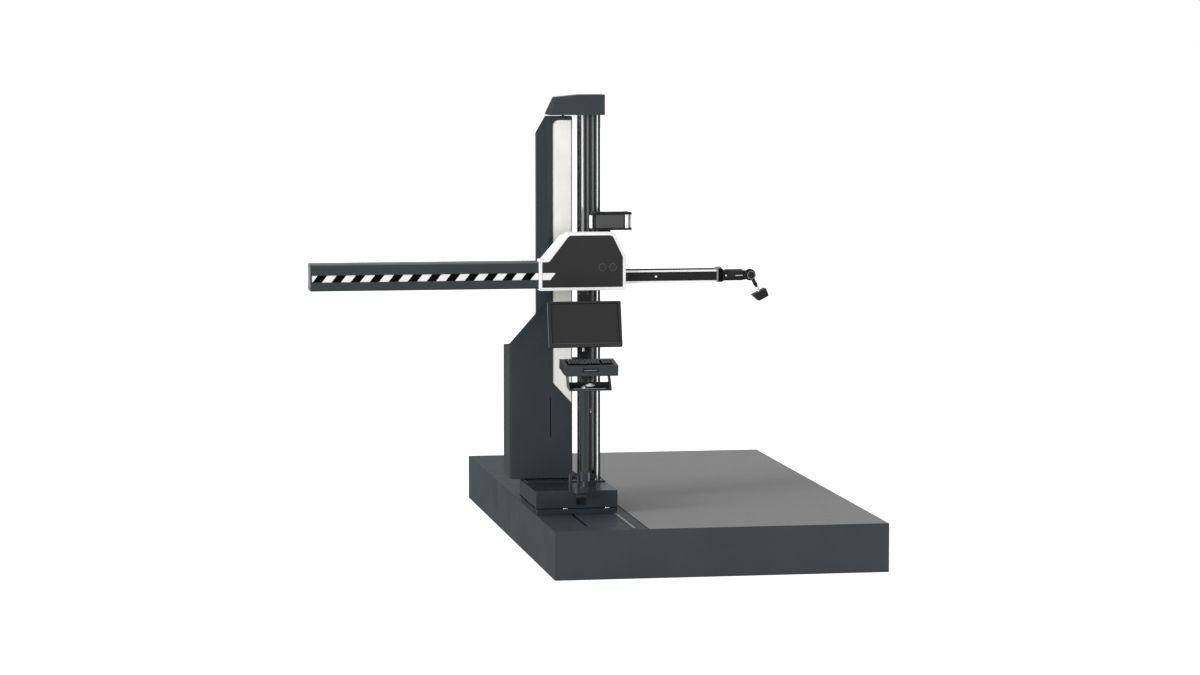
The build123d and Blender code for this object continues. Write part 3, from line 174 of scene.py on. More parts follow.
paintPattern = {"cloud": 4.0, "patches": 9.0, "darker": 0.93, "lighter": 1.07, "sway": (0.03, 0.03)}


def paintedFinish(name):
    values = finishes[name]
    material, tree, shader, place = startMaterial(name)
    color = values["color"]
    cloud = noise(tree, place, paintPattern["cloud"])
    darker = tuple(c * paintPattern["darker"] for c in color)
    lighter = tuple(min(c * paintPattern["lighter"], 1) for c in color)
    tree.links.new(blendColors(tree, spread(tree, cloud, 0, 1), darker, lighter), shader.inputs["Base Color"])
    patches = noise(tree, place, paintPattern["patches"])
    varyRoughness(tree, shader, patches, values["roughness"], paintPattern["sway"])
    shader.inputs["Specular IOR Level"].default_value = values["specular"]
    if values["bump"]:
        addBump(tree, shader, noise(tree, place, values["grain"]), values["bump"])
    return material


# brushed lines run along one axis, where the noise is stretched
brushPattern = {"along": 2, "across": 260, "lines": 3.0, "darker": 0.92, "sway": (0.04, 0.05)}


def metalFinish(name):
    values = finishes[name]
    material, tree, shader, place = startMaterial(name)
    shader.inputs["Metallic"].default_value = values["metallic"]
    color = values["color"]
    stretch = tree.nodes.new("ShaderNodeMapping")
    scale = [brushPattern["along" if axis == values["along"] else "across"] for axis in "XYZ"]
    stretch.inputs["Scale"].default_value = scale
    tree.links.new(place, stretch.inputs["Vector"])
    lines = noise(tree, stretch.outputs["Vector"], brushPattern["lines"])
    darker = tuple(c * brushPattern["darker"] for c in color)
    tree.links.new(blendColors(tree, spread(tree, lines, 0, 1), darker, color), shader.inputs["Base Color"])
    varyRoughness(tree, shader, lines, values["roughness"], brushPattern["sway"])
    return material


stonePattern = {"grains": 190, "cloud": 60, "cloudDetail": 4, "patches": 12, "sway": (0.05, 0.05),
                "pits": 400, "pitStrength": 0.05}


def stoneFinish(name):
    values = finishes[name]
    material, tree, shader, place = startMaterial(name)
    shader.inputs["Specular IOR Level"].default_value = values["specular"]
    grains = tree.nodes.new("ShaderNodeTexVoronoi")
    grains.inputs["Scale"].default_value = stonePattern["grains"]
    tree.links.new(place, grains.inputs["Vector"])
    flecks = spread(tree, grains.outputs["Distance"], 1, 0)
    cloud = spread(tree, noise(tree, place, stonePattern["cloud"], stonePattern["cloudDetail"]), 0, 1)
    base = blendColors(tree, cloud, values["deep"], values["color"])
    tree.links.new(blendColors(tree, flecks, base, values["fleck"]), shader.inputs["Base Color"])
    patches = noise(tree, place, stonePattern["patches"])
    varyRoughness(tree, shader, patches, values["roughness"], stonePattern["sway"])
    addBump(tree, shader, noise(tree, place, stonePattern["pits"]), stonePattern["pitStrength"])
    return material


materials = {}
for finishName, finishValues in finishes.items():
    if "fleck" in finishValues:
        materials[finishName] = stoneFinish(finishName)
    elif "along" in finishValues:
        materials[finishName] = metalFinish(finishName)
    else:
        materials[finishName] = paintedFinish(finishName)

wearing = {
    "surface_plate": "plate", "scale_strip": "groundSteel", "carriage_base": "carriagePaint", "glide_pads": "glideAndHighlight",
    "seam_bushes": "turned", "carriage_body": "carriagePaint", "front_socket": "rubber",
    "column_flange": "carriagePaint", "column_beam": "column", "guide_bars": "steelPaintedSheen",
    "column_channel": "columnFront", "lift_belts": "belt", "upper_pulleys": "turned", "lower_pulleys": "turned",
    "pulley_brackets": "machined", "counterweight": "iron", "tower_front_cover": "cover",
    "light_panel": "cream", "tower_cabinet": "cabinet", "rear_cover": "cabinet", "tower_feet": "rubber",
    "cable_bridge": "cover", "top_cap": "capPaint", "home_cam": "blackSteelAndShade", "head_shell": "shellWhite",
    "front_panel": "panelBlack", "button_rings": "blackSteelAndShade", "button_left": "plastic",
    "button_right": "plastic", "head_body": "machined", "head_saddle": "machined", "glide_blocks": "glideAndHighlight",
    "rear_housing": "housing", "housing_end_cap": "housing", "hazard_stripes": "markAndHighlight", "box_plates": "boxEdge",
    "box_body": "box", "box_cheeks": "shellWhite", "arm_beam": "arm", "arm_rails": "railSilver",
    "arm_cover_strip": "armCover", "arm_flange": "bandAndShade", "arm_clip": "glideAndHighlight", "probe_body": "probe",
    "probe_rotor": "probe", "probe_knuckle": "probe", "scanner_adapter": "rubber", "scanner_body": "probe",
    "scanner_window": "lens", "post_bracket": "cover", "post_clamp": "machined", "monitor_post": "column",
    "monitor_rail": "rubber", "monitor_case": "plastic", "monitor_screen": "screen",
    "tray_bracket": "machined", "tray_shelf": "trayPaint", "keyboard": "bandAndShade", "mouse_tray": "trayPaint",
    "mouse": "shellWhite",
}


def paintFaces(nodeName, materialName, chosen):
    mesh = nodes[nodeName].data
    mesh.materials.append(materials[materialName])
    index = len(mesh.materials) - 1
    for face in mesh.polygons:
        if chosen(face.center, face.normal):
            face.material_index = index


for nodeName, materialName in wearing.items():
    nodes[nodeName].data.materials.clear()
    nodes[nodeName].data.materials.append(materials[materialName])

hinges = {
    "probe": {"at": (0.406, -1.08, 1.957), "axis": "Y", "degrees": 62},
    "monitor": {"at": (-0.836, -1.434, 1.648), "axis": "X", "degrees": -15},
    "tray": {"at": (-0.815, -1.432, 1.321), "axis": "X", "degrees": 8},
}


def hingePlace(name):
    # a hinge's own frame, in which its tilted pieces stand square
    values = hinges[name]
    turn = Matrix.Rotation(math.radians(values["degrees"]), 4, values["axis"])
    return Matrix.Translation(values["at"]) @ turn


probeHinge = hingePlace("probe")
monitorHinge = hingePlace("monitor")
trayHinge = hingePlace("tray")
intoProbe = probeHinge.inverted()
intoMonitor = monitorHinge.inverted()
intoTray = trayHinge.inverted()

# how far a face's normal has to lean to an axis to count as facing it
facing = {"straight": 0.9, "mostly": 0.7, "half": 0.5, "partly": 0.3}
edgeRise = (0.3, 0.95)  # how far the normals of a rounded top edge rise
levelGap = 0.001  # two levels further apart than this are different faces

# where a node's second finish starts, from its box or in its hinge's frame
splitValues = {
    "bandDepth": 0.008, "ductStart": 0.04, "rib": (0.08, 0.14), "whiteStem": 0.094, "mouseSide": -0.061,
    "mousePalm": -0.03, "keyTop": 0.1075, "shelfEnd": 0.187, "recess": (-0.0675, -0.0635), "recessLit": 0.2,
}
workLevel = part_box("surface_plate")[1].z
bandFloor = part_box("rear_housing")[0].y + splitValues["bandDepth"]
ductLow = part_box("rear_cover")[1].z + splitValues["ductStart"]
beamLow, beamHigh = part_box("column_beam")


def looksUp(normal):
    return normal.z > facing["straight"]


def looksAside(normal, least="mostly"):
    return abs(normal.x) > facing[least]


def looksLeft(normal):
    return normal.x < -facing["mostly"]


def onTopEdge(normal):
    # the rounded edge between a front and a top, which gets a painted highlight
    return normal.y < -facing["partly"] and edgeRise[0] < normal.z < edgeRise[1]


def onBandFloor(center, normal):
    # the sunk field that the stripes lie in
    return normal.y < -facing["straight"] and abs(center.y - bandFloor) < levelGap


def onSideRib(center, normal):
    # the rib between the two grooves, on the side that faces the tower, which gets a painted reflection
    nearFace = center.x < beamLow.x + levelGap
    start, end = splitValues["rib"]
    return looksLeft(normal) and nearFace and start < center.y - beamLow.y < end


def onMouseSide(center):
    place = intoTray @ center
    return place.z < splitValues["mouseSide"] and place.x > splitValues["mousePalm"]


def onShelfEnd(center, normal):
    return looksAside(normal) and abs((intoTray @ center).x) > splitValues["shelfEnd"]


def onRecessWall(center, normal, lit):
    # the walls round the screen: painted shade on the ones that don't look up, and a painted highlight on the one
    # that looks up
    front, floor = splitValues["recess"]
    lean = intoMonitor.to_3x3() @ normal
    inside = front < (intoMonitor @ center).y < floor and lean.y > -facing["straight"]
    return inside and (lean.z > splitValues["recessLit"]) == lit


paintFaces("surface_plate", "workFace", lambda c, n: looksUp(n) and c.z > workLevel - levelGap)
# painted light: the plate's sides are toned lighter than its front
paintFaces("surface_plate", "plateSideShading", lambda c, n: looksAside(n))
# painted shade: the guideway top is toned apart from the plate for the light that falls on it
paintFaces("surface_plate", "guideTopShading", lambda c, n: looksUp(n) and c.z < workLevel - levelGap)
# painted shade: the carriage's top faces lose their sheen
paintFaces("carriage_body", "carriageTopShading", lambda c, n: looksUp(n))
# painted light: the sides of the carriage body and the column flange are toned lighter than their tops and fronts
for nodeName in ("carriage_body", "column_flange"):
    paintFaces(nodeName, "carriageSideShading", lambda c, n: looksAside(n))
# painted shade: the side faces of the carriage base and the front cover get a matte tone of their own
paintFaces("carriage_base", "ductAndSideShading", lambda c, n: looksAside(n))
paintFaces("tower_front_cover", "ductAndSideShading", lambda c, n: looksAside(n, "half"))
# painted shade: the cap's sides are toned apart from its front
paintFaces("top_cap", "capSideShading", lambda c, n: looksAside(n, "half"))
paintFaces("head_body", "shellWhite", lambda c, n: abs(n.y) < facing["partly"])
paintFaces("rear_housing", "bandAndShade", onBandFloor)
# painted highlight along the rounded top front edge of the housing
paintFaces("rear_housing", "housingEdgeHighlight", lambda c, n: onTopEdge(n))
# painted highlight along the rounded top front edge of the carriage
paintFaces("carriage_body", "carriageEdgeHighlight", lambda c, n: onTopEdge(n))
paintFaces("tower_cabinet", "ductAndSideShading", lambda c, n: c.z > ductLow)
paintFaces("scanner_adapter", "shellWhite", lambda c, n: (intoProbe @ c).x > splitValues["whiteStem"])
paintFaces("mouse", "plastic", lambda c, n: onMouseSide(c))
paintFaces("keyboard", "keyTop", lambda c, n: (intoTray @ c).z > splitValues["keyTop"])
# painted shade: the shelf's end faces are darkened to the tone of its front
paintFaces("tray_shelf", "ductAndSideShading", onShelfEnd)
# painted shade on the screen's recess walls, and a painted highlight in the key tone on the one that looks up
paintFaces("monitor_case", "bandAndShade", lambda c, n: onRecessWall(c, n, False))
paintFaces("monitor_case", "keyTop", lambda c, n: onRecessWall(c, n, True))
# painted reflection on the rib of the column's left side
paintFaces("column_beam", "columnRibSheen", onSideRib)
# painted shade: the guide bars' left faces are painted dark, so only a thin bright line shows
paintFaces("guide_bars", "blackSteelAndShade", lambda c, n: looksLeft(n))
# painted shade: the post's left face is darkened
paintFaces("monitor_post", "ductAndSideShading", lambda c, n: looksLeft(n))
paintFaces("box_body", "boxEdge", lambda c, n: looksAside(n, "partly"))
print("materials:", len(materials))


# Shapes for the added pieces

toTop = (0, 0, 1)
toFront = (0, -1, 0)
toBack = (0, 1, 0)
toRight = (1, 0, 0)
toLeft = (-1, 0, 0)
sharpAngle = 32
screwShape = {"rim": 0.14, "wall": 0.34, "lip": 0.04, "socket": 0.55}  # shares of the radius, the last of the height
screwSunk = 0.0004  # how far a screw's foot lies inside the face that it stands on


def aim(center, axis):
    return Matrix.Translation(center) @ Vector(axis).to_track_quat("Z", "Y").to_matrix().to_4x4()


def endFace(shape, corners, axis):
    own = set(corners)
    faces = [f for f in shape.faces if len(f.verts) > 4 and own.issuperset(f.verts)]
    return max(faces, key=lambda f: f.calc_center_median().dot(axis))


def roundEdges(shape, edges, size):
    return bmesh.ops.bevel(shape, geom=list(edges), offset=size, segments=2, profile=0.5,
                           affect="EDGES", material=-1, clamp_overlap=True)


def addCylinder(shape, center, axis, radius, height, segments=24, rim=0.0):
    # stands on its centre and rises along the axis
    axis = Vector(axis).normalized()
    place = aim(center, axis) @ Matrix.Translation((0, 0, height / 2))
    made = bmesh.ops.create_cone(shape, cap_ends=True, segments=segments, radius1=radius, radius2=radius,
                                 depth=height, matrix=place)
    top = endFace(shape, made["verts"], axis)
    if rim:
        middle = top.calc_center_median()
        roundEdges(shape, top.edges, rim)
        near = [f for f in shape.faces if len(f.verts) >= segments]
        top = min(near, key=lambda f: (f.calc_center_median() - middle).length)
    return top


def addPeg(shape, center, axis, values):
    addCylinder(shape, center, axis, values["radius"], values["height"], values.get("segments", 24),
                values.get("rim", 0.0))


def addScrews(shape, centers, axis, values):
    # cap heads with a sunk socket
    radius = values["radius"]
    height = values["height"]
    sink = Vector(axis).normalized() * -height * screwShape["socket"]
    for center in centers:
        top = addCylinder(shape, center, axis, radius, height, values.get("segments", 20),
                          radius * screwShape["rim"])
        for share in (screwShape["wall"], screwShape["lip"]):
            bmesh.ops.inset_individual(shape, faces=[top], thickness=radius * share)
        bmesh.ops.translate(shape, verts=list(top.verts), vec=sink)


def fourCorners(lowA, highA, lowB, highB, edge):
    # the points that lie one edge width inside the corners of a rectangle
    return [(a, b) for a in (lowA + edge, highA - edge) for b in (lowB + edge, highB - edge)]


def addBox(shape, low, high, rim=0.0, place=None):
    low = Vector(low)
    high = Vector(high)
    size = high - low
    matrix = Matrix.Translation((low + high) / 2) @ Matrix.Diagonal((*size, 1))
    made = bmesh.ops.create_cube(shape, size=1, matrix=matrix)
    corners = made["verts"]
    if rim:
        edges = {e for v in corners for e in v.link_edges}
        result = roundEdges(shape, edges, rim)
        corners = list({v for f in result["faces"] for v in f.verts})
    if place is not None:
        bmesh.ops.transform(shape, matrix=place, verts=corners)


def addBlock(shape, origin, values, place=None):
    # a box whose two corners are given from an origin
    start = [o + step for o, step in zip(origin, values["from"])]
    end = [o + step for o, step in zip(origin, values["to"])]
    addBox(shape, start, end, values["rim"], place)


def addRing(shape, center, axis, inner, outer, height, segments=48):
    # a flat ring turned from a small rectangle
    place = aim(center, axis)
    corners = [(inner, 0, 0), (outer, 0, 0), (outer, 0, height), (inner, 0, height)]
    verts = [shape.verts.new(place @ Vector(c)) for c in corners]
    edges = [shape.edges.new((verts[i], verts[(i + 1) % 4])) for i in range(4)]
    bmesh.ops.spin(shape, geom=verts + edges, cent=center, axis=Vector(axis).normalized(),
                   angle=math.tau, steps=segments, use_merge=True)


def finishPiece(name, shape, materialName, body):
    bmesh.ops.recalc_face_normals(shape, faces=shape.faces)
    mesh = bpy.data.meshes.new(name)
    shape.to_mesh(mesh)
    shape.free()
    for face in mesh.polygons:
        face.use_smooth = True
    mesh.set_sharp_from_angle(angle=math.radians(sharpAngle))
    mesh.materials.append(materials[materialName])
    piece = bpy.data.objects.new(name, mesh)
    bpy.context.collection.objects.link(piece)
    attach(piece, body)


# Plate and carriage pieces

stripScrew = {"pitch": 0.160, "slack": 0.001, "radius": 0.0034, "height": 0.0055, "segments": 12}


def buildStripScrews():
    # evenly spaced, and the slack keeps a whole number of pitches from being rounded down
    low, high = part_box("scale_strip")
    pitch = stripScrew["pitch"]
    count = int((high.y - low.y - pitch) / pitch + stripScrew["slack"]) + 1
    first = (low.y + high.y - (count - 1) * pitch) / 2
    middle = (low.x + high.x) / 2
    shape = bmesh.new()
    addScrews(shape, [(middle, first + i * pitch, low.z) for i in range(count)], toTop, stripScrew)
    finishPiece("stripScrews", shape, "blackSteelAndShade", "base")


# the belt that lies in the guideway's slot
slotBelt = {"inset": 0.259, "half": 0.006, "depth": 0.084, "thickness": 0.004, "ends": 0.238}


def buildSlotBelt():
    low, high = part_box("surface_plate")
    center = low.x + slotBelt["inset"]
    floor = high.z - slotBelt["depth"]
    half = slotBelt["half"]
    ends = slotBelt["ends"]
    shape = bmesh.new()
    addBox(shape, (center - half, low.y + ends, floor), (center + half, high.y - ends, floor + slotBelt["thickness"]))
    finishPiece("slotBelt", shape, "rubber", "base")


# bolts in front of the column and beside it
flangeBolt = {"radius": 0.008, "height": 0.009, "front": 0.055, "outside": 0.02, "inside": 0.04, "edge": 0.014,
              "sideRow": (0.02, 0.1, 0.18)}


def buildFlangeBolts():
    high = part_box("column_flange")[1]
    front = beamLow.y - flangeBolt["front"]
    inside = flangeBolt["inside"]
    frontRow = (beamLow.x - flangeBolt["outside"], beamLow.x + inside, beamHigh.x - inside)
    places = [(x, front, high.z) for x in frontRow]
    places += [(high.x - flangeBolt["edge"], front + step, high.z) for step in flangeBolt["sideRow"]]
    shape = bmesh.new()
    addScrews(shape, places, toTop, flangeBolt)
    finishPiece("flangeBolts", shape, "blackSteelAndShade", "carriage")


# painted shade: dark strips that fill the seam at the sides and line the body's lower side edges
seamShadeSizes = {"inset": 0.002, "width": 0.006, "ends": 0.002}
skirtShadeSizes = {"out": 0.0008, "sunk": 0.0005, "height": 0.009, "ends": 0.003}
# painted highlight: white feet in the front of the seam
seamFootHighlight = {"places": (0.199, 0.492), "half": 0.0115, "depth": 0.016, "lip": 0.0012, "under": 0.0016,
            "over": 0.0012, "rim": 0.0006}


def buildSeamPieces():
    # dark strips along the sides of the seam and the body's lower side edges, as painted shade, and white feet in its
    # front, as a painted highlight
    low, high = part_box("carriage_base")
    bushLow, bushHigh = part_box("seam_bushes")
    inset = seamShadeSizes["inset"]
    width = seamShadeSizes["width"]
    ends = seamShadeSizes["ends"]
    shape = bmesh.new()
    for x in (low.x + inset, high.x - inset - width):
        addBox(shape, (x, low.y + ends, bushLow.z), (x + width, high.y - ends, bushHigh.z))
    bodyLow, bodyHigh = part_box("carriage_body")
    out = skirtShadeSizes["out"]
    sunk = skirtShadeSizes["sunk"]
    ends = skirtShadeSizes["ends"]
    for start, end in ((bodyLow.x - out, bodyLow.x + sunk), (bodyHigh.x - sunk, bodyHigh.x + out)):
        addBox(shape, (start, bodyLow.y + ends, bodyLow.z),
               (end, bodyHigh.y - ends, bodyLow.z + skirtShadeSizes["height"]))
    finishPiece("seamShadeStrips", shape, "seamShade", "carriage")
    shape = bmesh.new()
    half = seamFootHighlight["half"]
    for place in seamFootHighlight["places"]:
        x = bushLow.x + place
        addBox(shape, (x - half, low.y - seamFootHighlight["lip"], bushLow.z + seamFootHighlight["under"]),
               (x + half, low.y + seamFootHighlight["depth"], bushHigh.z - seamFootHighlight["over"]), seamFootHighlight["rim"])
    finishPiece("seamFeetHighlight", shape, "markAndHighlight", "carriage")


coverScrew = {
    "radius": 0.0045, "height": 0.002,
    "edge": 0.018, "leftRises": (0.05, 0.48, 0.90), "rightRises": (0.05, 0.48),
    "upperEdge": 0.016, "upperRises": (1.30, 1.85), "topGap": 0.03,
    "capEdge": 0.014, "capInset": 0.02, "capInner": 0.15, "capSideShading": (0.02, 0.12), "capSideTop": 0.03,
}


def buildCoverScrews():
    low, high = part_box("tower_front_cover")
    capLow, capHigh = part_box("top_cap")
    front = low.y + screwSunk
    left = low.x + coverScrew["edge"]
    right = high.x - coverScrew["edge"]
    upper = capLow.x + coverScrew["upperEdge"]
    places = [(left, front, low.z + rise) for rise in coverScrew["leftRises"]]
    places += [(right, front, low.z + rise) for rise in coverScrew["rightRises"]]
    places += [(upper, front, low.z + rise) for rise in coverScrew["upperRises"]]
    places.append((upper, front, high.z - coverScrew["topGap"]))
    front = capLow.y + screwSunk
    right = capHigh.x - coverScrew["capEdge"]
    lowRow = capLow.z + coverScrew["capEdge"]
    highRow = capHigh.z - coverScrew["capInset"]
    places += [(capLow.x + coverScrew["capInset"], front, lowRow), (right, front, lowRow),
               (right, front, highRow), (capHigh.x - coverScrew["capInner"], front, highRow)]
    shape = bmesh.new()
    addScrews(shape, places, toFront, coverScrew)
    frontGap, backGap = coverScrew["capSideShading"]
    rows = (capLow.z + coverScrew["capInset"], capHigh.z - coverScrew["capSideTop"])
    columns = (capLow.y + frontGap, capHigh.y - backGap)
    addScrews(shape, [(capHigh.x - screwSunk, y, z) for z in rows for y in columns], toRight, coverScrew)
    finishPiece("coverScrews", shape, "cover", "carriage")


doorLatch = {
    "inset": 0.04, "sunk": 0.002,
    "disc": {"radius": 0.014, "height": 0.006, "segments": 32, "rim": 0.0015},
    "key": {"from": (-0.043, 0.004, -0.010), "to": (-0.037, 0.010, 0.010), "rim": 0.001},  # from the cover's edge
}
cableGland = {
    "count": 3, "start": 0.06, "pitch": 0.045, "sunk": 0.001, "drop": 0.014,
    "nut": {"radius": 0.011, "height": 0.006, "segments": 6},
    "tube": {"radius": 0.008, "height": 0.018, "rim": 0.0015},
}


def buildCabinetFittings():
    low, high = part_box("rear_cover")
    back = high.y - doorLatch["sunk"]
    middle = (low.z + high.z) / 2
    shape = bmesh.new()
    addPeg(shape, (high.x - doorLatch["inset"], back, middle), toBack, doorLatch["disc"])
    addBlock(shape, (high.x, back, middle), doorLatch["key"])
    finishPiece("doorLatch", shape, "turned", "carriage")
    shape = bmesh.new()
    for i in range(cableGland["count"]):
        center = (low.x + cableGland["start"] + cableGland["pitch"] * i, back - cableGland["sunk"],
                  low.z - cableGland["drop"])
        addPeg(shape, center, toBack, cableGland["nut"])
        addPeg(shape, center, toBack, cableGland["tube"])
    finishPiece("cableGlands", shape, "rubber", "carriage")


ductTrim = {"left": 0.0345, "foot": 0.156, "top": 0.135, "depth": 0.065, "sheet": 0.0015, "sunk": 0.0003,
            "rim": 0.0004}


def buildDuctTrim():
    # the folded edge that closes the cable duct at the back
    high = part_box("tower_cabinet")[1]
    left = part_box("light_panel")[0].x - ductTrim["left"]
    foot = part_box("rear_cover")[1].z + ductTrim["foot"]
    top = high.z - ductTrim["top"]
    front = high.y - ductTrim["depth"]
    back = high.y + ductTrim["sheet"]
    sheet = ductTrim["sheet"]
    sunk = ductTrim["sunk"]
    shape = bmesh.new()
    addBox(shape, (left - sheet, front, foot), (left + sunk, back, top), ductTrim["rim"])
    addBox(shape, (high.x - sunk, front, foot), (high.x + sheet, back, top), ductTrim["rim"])
    addBox(shape, (left, high.y - sunk, foot), (high.x, back, top), ductTrim["rim"])
    finishPiece("ductTrim", shape, "ductEdge", "carriage")


# painted highlight: a white dot at the foot of the home cam stands for the glint on it
camHighlightDot = {"rise": 0.005, "sunk": 0.0005, "radius": 0.0035, "height": 0.002, "segments": 20, "rim": 0.0005}


def buildCamHighlightDot():
    low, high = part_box("home_cam")
    shape = bmesh.new()
    center = ((low.x + high.x) / 2, low.y + camHighlightDot["sunk"], low.z + camHighlightDot["rise"])
    addPeg(shape, center, toFront, camHighlightDot)
    finishPiece("camHighlightDot", shape, "markAndHighlight", "carriage")


# Head and arm pieces

endScrew = {"edge": 0.022, "radius": 0.0055, "height": 0.004}
topScrew = {"count": 6, "start": 0.08, "pitch": 0.28, "edge": 0.03, "radius": 0.0045, "height": 0.0022}


def buildHousingScrews():
    low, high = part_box("housing_end_cap")
    corners = fourCorners(low.y, high.y, low.z, high.z, endScrew["edge"])
    shape = bmesh.new()
    addScrews(shape, [(low.x + screwSunk, y, z) for y, z in corners], toLeft, endScrew)
    low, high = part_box("rear_housing")
    rows = (low.y + topScrew["edge"], high.y - topScrew["edge"])
    steps = [low.x + topScrew["start"] + i * topScrew["pitch"] for i in range(topScrew["count"])]
    addScrews(shape, [(x, y, high.z - screwSunk) for x in steps for y in rows], toTop, topScrew)
    finishPiece("housingScrews", shape, "blackSteelAndShade", "head")


connector = {
    "inset": 0.042, "rises": (0.026, 0.066), "sunk": 0.001,
    "base": {"radius": 0.0125, "height": 0.005, "segments": 32, "rim": 0.001},
    "ring": {"inner": 0.0075, "outer": 0.010, "height": 0.008},
}
plateScrew = {"edge": 0.02, "radius": 0.005, "height": 0.004}


def buildBoxFittings():
    low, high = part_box("box_body")
    x = low.x + connector["inset"]
    back = high.y - connector["sunk"]
    base = connector["base"]
    ring = connector["ring"]
    shape = bmesh.new()
    for rise in connector["rises"]:
        z = low.z + rise
        addPeg(shape, (x, back, z), toBack, base)
        addRing(shape, (x, back + base["height"], z), toBack, ring["inner"], ring["outer"], ring["height"])
    low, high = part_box("box_plates")
    corners = fourCorners(low.x, high.x, low.y, high.y, plateScrew["edge"])
    addScrews(shape, [(x, y, high.z - screwSunk) for x, y in corners], toTop, plateScrew)
    finishPiece("boxFittings", shape, "blackSteelAndShade", "head")


probeRadius = 0.038
# the bar is placed from the probe's surface, and the highlight strip from its axis before it is turned up
armDot = {"x": -0.275, "sunk": 0.0004, "radius": 0.0075, "height": 0.0006}
probeDot = {"x": 0.2235, "sunk": 0.001, "radius": 0.0062, "height": 0.0025, "rim": 0.0006}
probeBar = {"from": (0.292, -0.0015, -0.0018), "to": (0.343, 0.003, 0.0018), "rim": 0.0006}
probeHighlightStrip = {"degrees": 57, "from": (0.211, -0.0392, -0.0014), "to": (0.345, -0.0370, 0.0014), "rim": 0.0004}
flangeScrew = {"edge": 0.014, "radius": 0.005, "height": 0.005}


def buildArmFittings():
    low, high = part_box("arm_beam")
    center = (low.y + high.y) / 2
    middle = (low.z + high.z) / 2
    surface = center - probeRadius
    shape = bmesh.new()
    addPeg(shape, (armDot["x"], low.y + armDot["sunk"], middle), toFront, armDot)
    addPeg(shape, (probeDot["x"], surface + probeDot["sunk"], middle), toFront, probeDot)
    finishPiece("armDots", shape, "markAndHighlight", "arm")
    shape = bmesh.new()
    addBlock(shape, (0, surface, middle), probeBar)
    finishPiece("probeBar", shape, "railSilver", "arm")
    # painted highlight: a light strip along the top of the probe body
    shape = bmesh.new()
    turn = Matrix.Rotation(math.radians(probeHighlightStrip["degrees"]), 4, "X").inverted()
    addBlock(shape, (0, 0, 0), probeHighlightStrip, Matrix.Translation((0, center, middle)) @ turn)
    finishPiece("probeHighlightStrip", shape, "glideAndHighlight", "arm")
    low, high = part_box("arm_flange")
    corners = fourCorners(low.y, high.y, low.z, high.z, flangeScrew["edge"])
    shape = bmesh.new()
    addScrews(shape, [(high.x - screwSunk, y, z) for y, z in corners], toRight, flangeScrew)
    finishPiece("flangeScrews", shape, "blackSteelAndShade", "arm")


stemSleeve = {"start": 0.042, "end": 0.083, "radius": 0.013, "segments": 32, "rim": 0.002}


def buildStemSleeve():
    # the rubber sleeve on the scanner's rod
    start = probeHinge @ Vector((stemSleeve["start"], 0, 0))
    along = probeHinge.to_3x3() @ Vector(toRight)
    length = stemSleeve["end"] - stemSleeve["start"]
    shape = bmesh.new()
    addCylinder(shape, start, along, stemSleeve["radius"], length, stemSleeve["segments"], stemSleeve["rim"])
    finishPiece("stemSleeve", shape, "rubber", "probe")


# lies on the front disc of the wrist
wristRing = {"out": 0.0293, "inner": 0.0245, "outer": 0.0285, "height": 0.0012}


def buildWristRing():
    pin = probeHinge.translation
    shape = bmesh.new()
    addRing(shape, (pin.x, pin.y - wristRing["out"], pin.z), toFront, wristRing["inner"], wristRing["outer"],
            wristRing["height"])
    finishPiece("wristRing", shape, "glideAndHighlight", "wrist")


# Stand pieces

# the pad is placed from the rail's front, its foot from the lower left, and the light strip for the highlight on the
# clamp's right edge from the clamp's upper right
railFront = -1.400
railPad = {"from": (-0.840, -0.002, 1.469), "to": (-0.824, 0.001, 1.493), "rim": 0.0008}
railFoot = {"from": (-0.036, -0.016, -0.006), "to": (0.010, -0.002, 0.010), "rim": 0.001}
clampEdgeHighlight = {"from": (-0.014, -0.003, -0.064), "to": (-0.008, 0.002, -0.004), "rim": 0.001}
railScrew = {"edge": 0.012, "end": 0.015, "inner": 0.2, "radius": 0.005, "height": 0.004}


def buildStandFittings():
    low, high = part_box("monitor_rail")
    shape = bmesh.new()
    addBlock(shape, (0, railFront, 0), railPad)
    finishPiece("railPad", shape, "markAndHighlight", "stand")
    shape = bmesh.new()
    addBlock(shape, (low.x, high.y, low.z), railFoot)
    finishPiece("railFoot", shape, "rubber", "stand")
    # painted highlight: a light strip along the clamp's right edge
    clampLow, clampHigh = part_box("post_clamp")
    shape = bmesh.new()
    addBlock(shape, (clampHigh.x, clampLow.y, clampHigh.z), clampEdgeHighlight)
    finishPiece("clampEdgeHighlight", shape, "glideAndHighlight", "stand")
    end = railScrew["end"]
    inner = railScrew["inner"]
    columns = (low.x + railScrew["edge"], high.x - railScrew["edge"])
    rows = (low.z + end, high.z - end, low.z + inner, high.z - inner)
    shape = bmesh.new()
    addScrews(shape, [(x, railFront + screwSunk, z) for x in columns for z in rows], toFront, railScrew)
    finishPiece("railScrews", shape, "blackSteelAndShade", "stand")


# the slot bar, the painted highlight on the mouse basket's lip and the wheel are placed in the tray hinge's frame,
# and the knob from the bracket
slotBarAndLipHighlight = (
    {"from": (-0.048, -0.188, 0.0610), "to": (0.040, -0.176, 0.0655), "rim": 0.0008},
    # a painted highlight along the top of the mouse basket's front lip
    {"from": (-0.122, -0.1855, -0.0655), "to": (0.102, -0.1835, -0.0615), "rim": 0.0006},
)
trayKnob = {
    "y": -1.418, "sunk": 0.001, "rise": 0.008,
    "grip": {"radius": 0.0095, "height": 0.013, "segments": 12, "rim": 0.002},
    "pin": {"radius": 0.004, "height": 0.016, "segments": 16, "rim": 0.0008},
}
mouseWheel = {"at": (0.024, -0.107, -0.056), "radius": 0.008, "height": 0.006, "rim": 0.001}


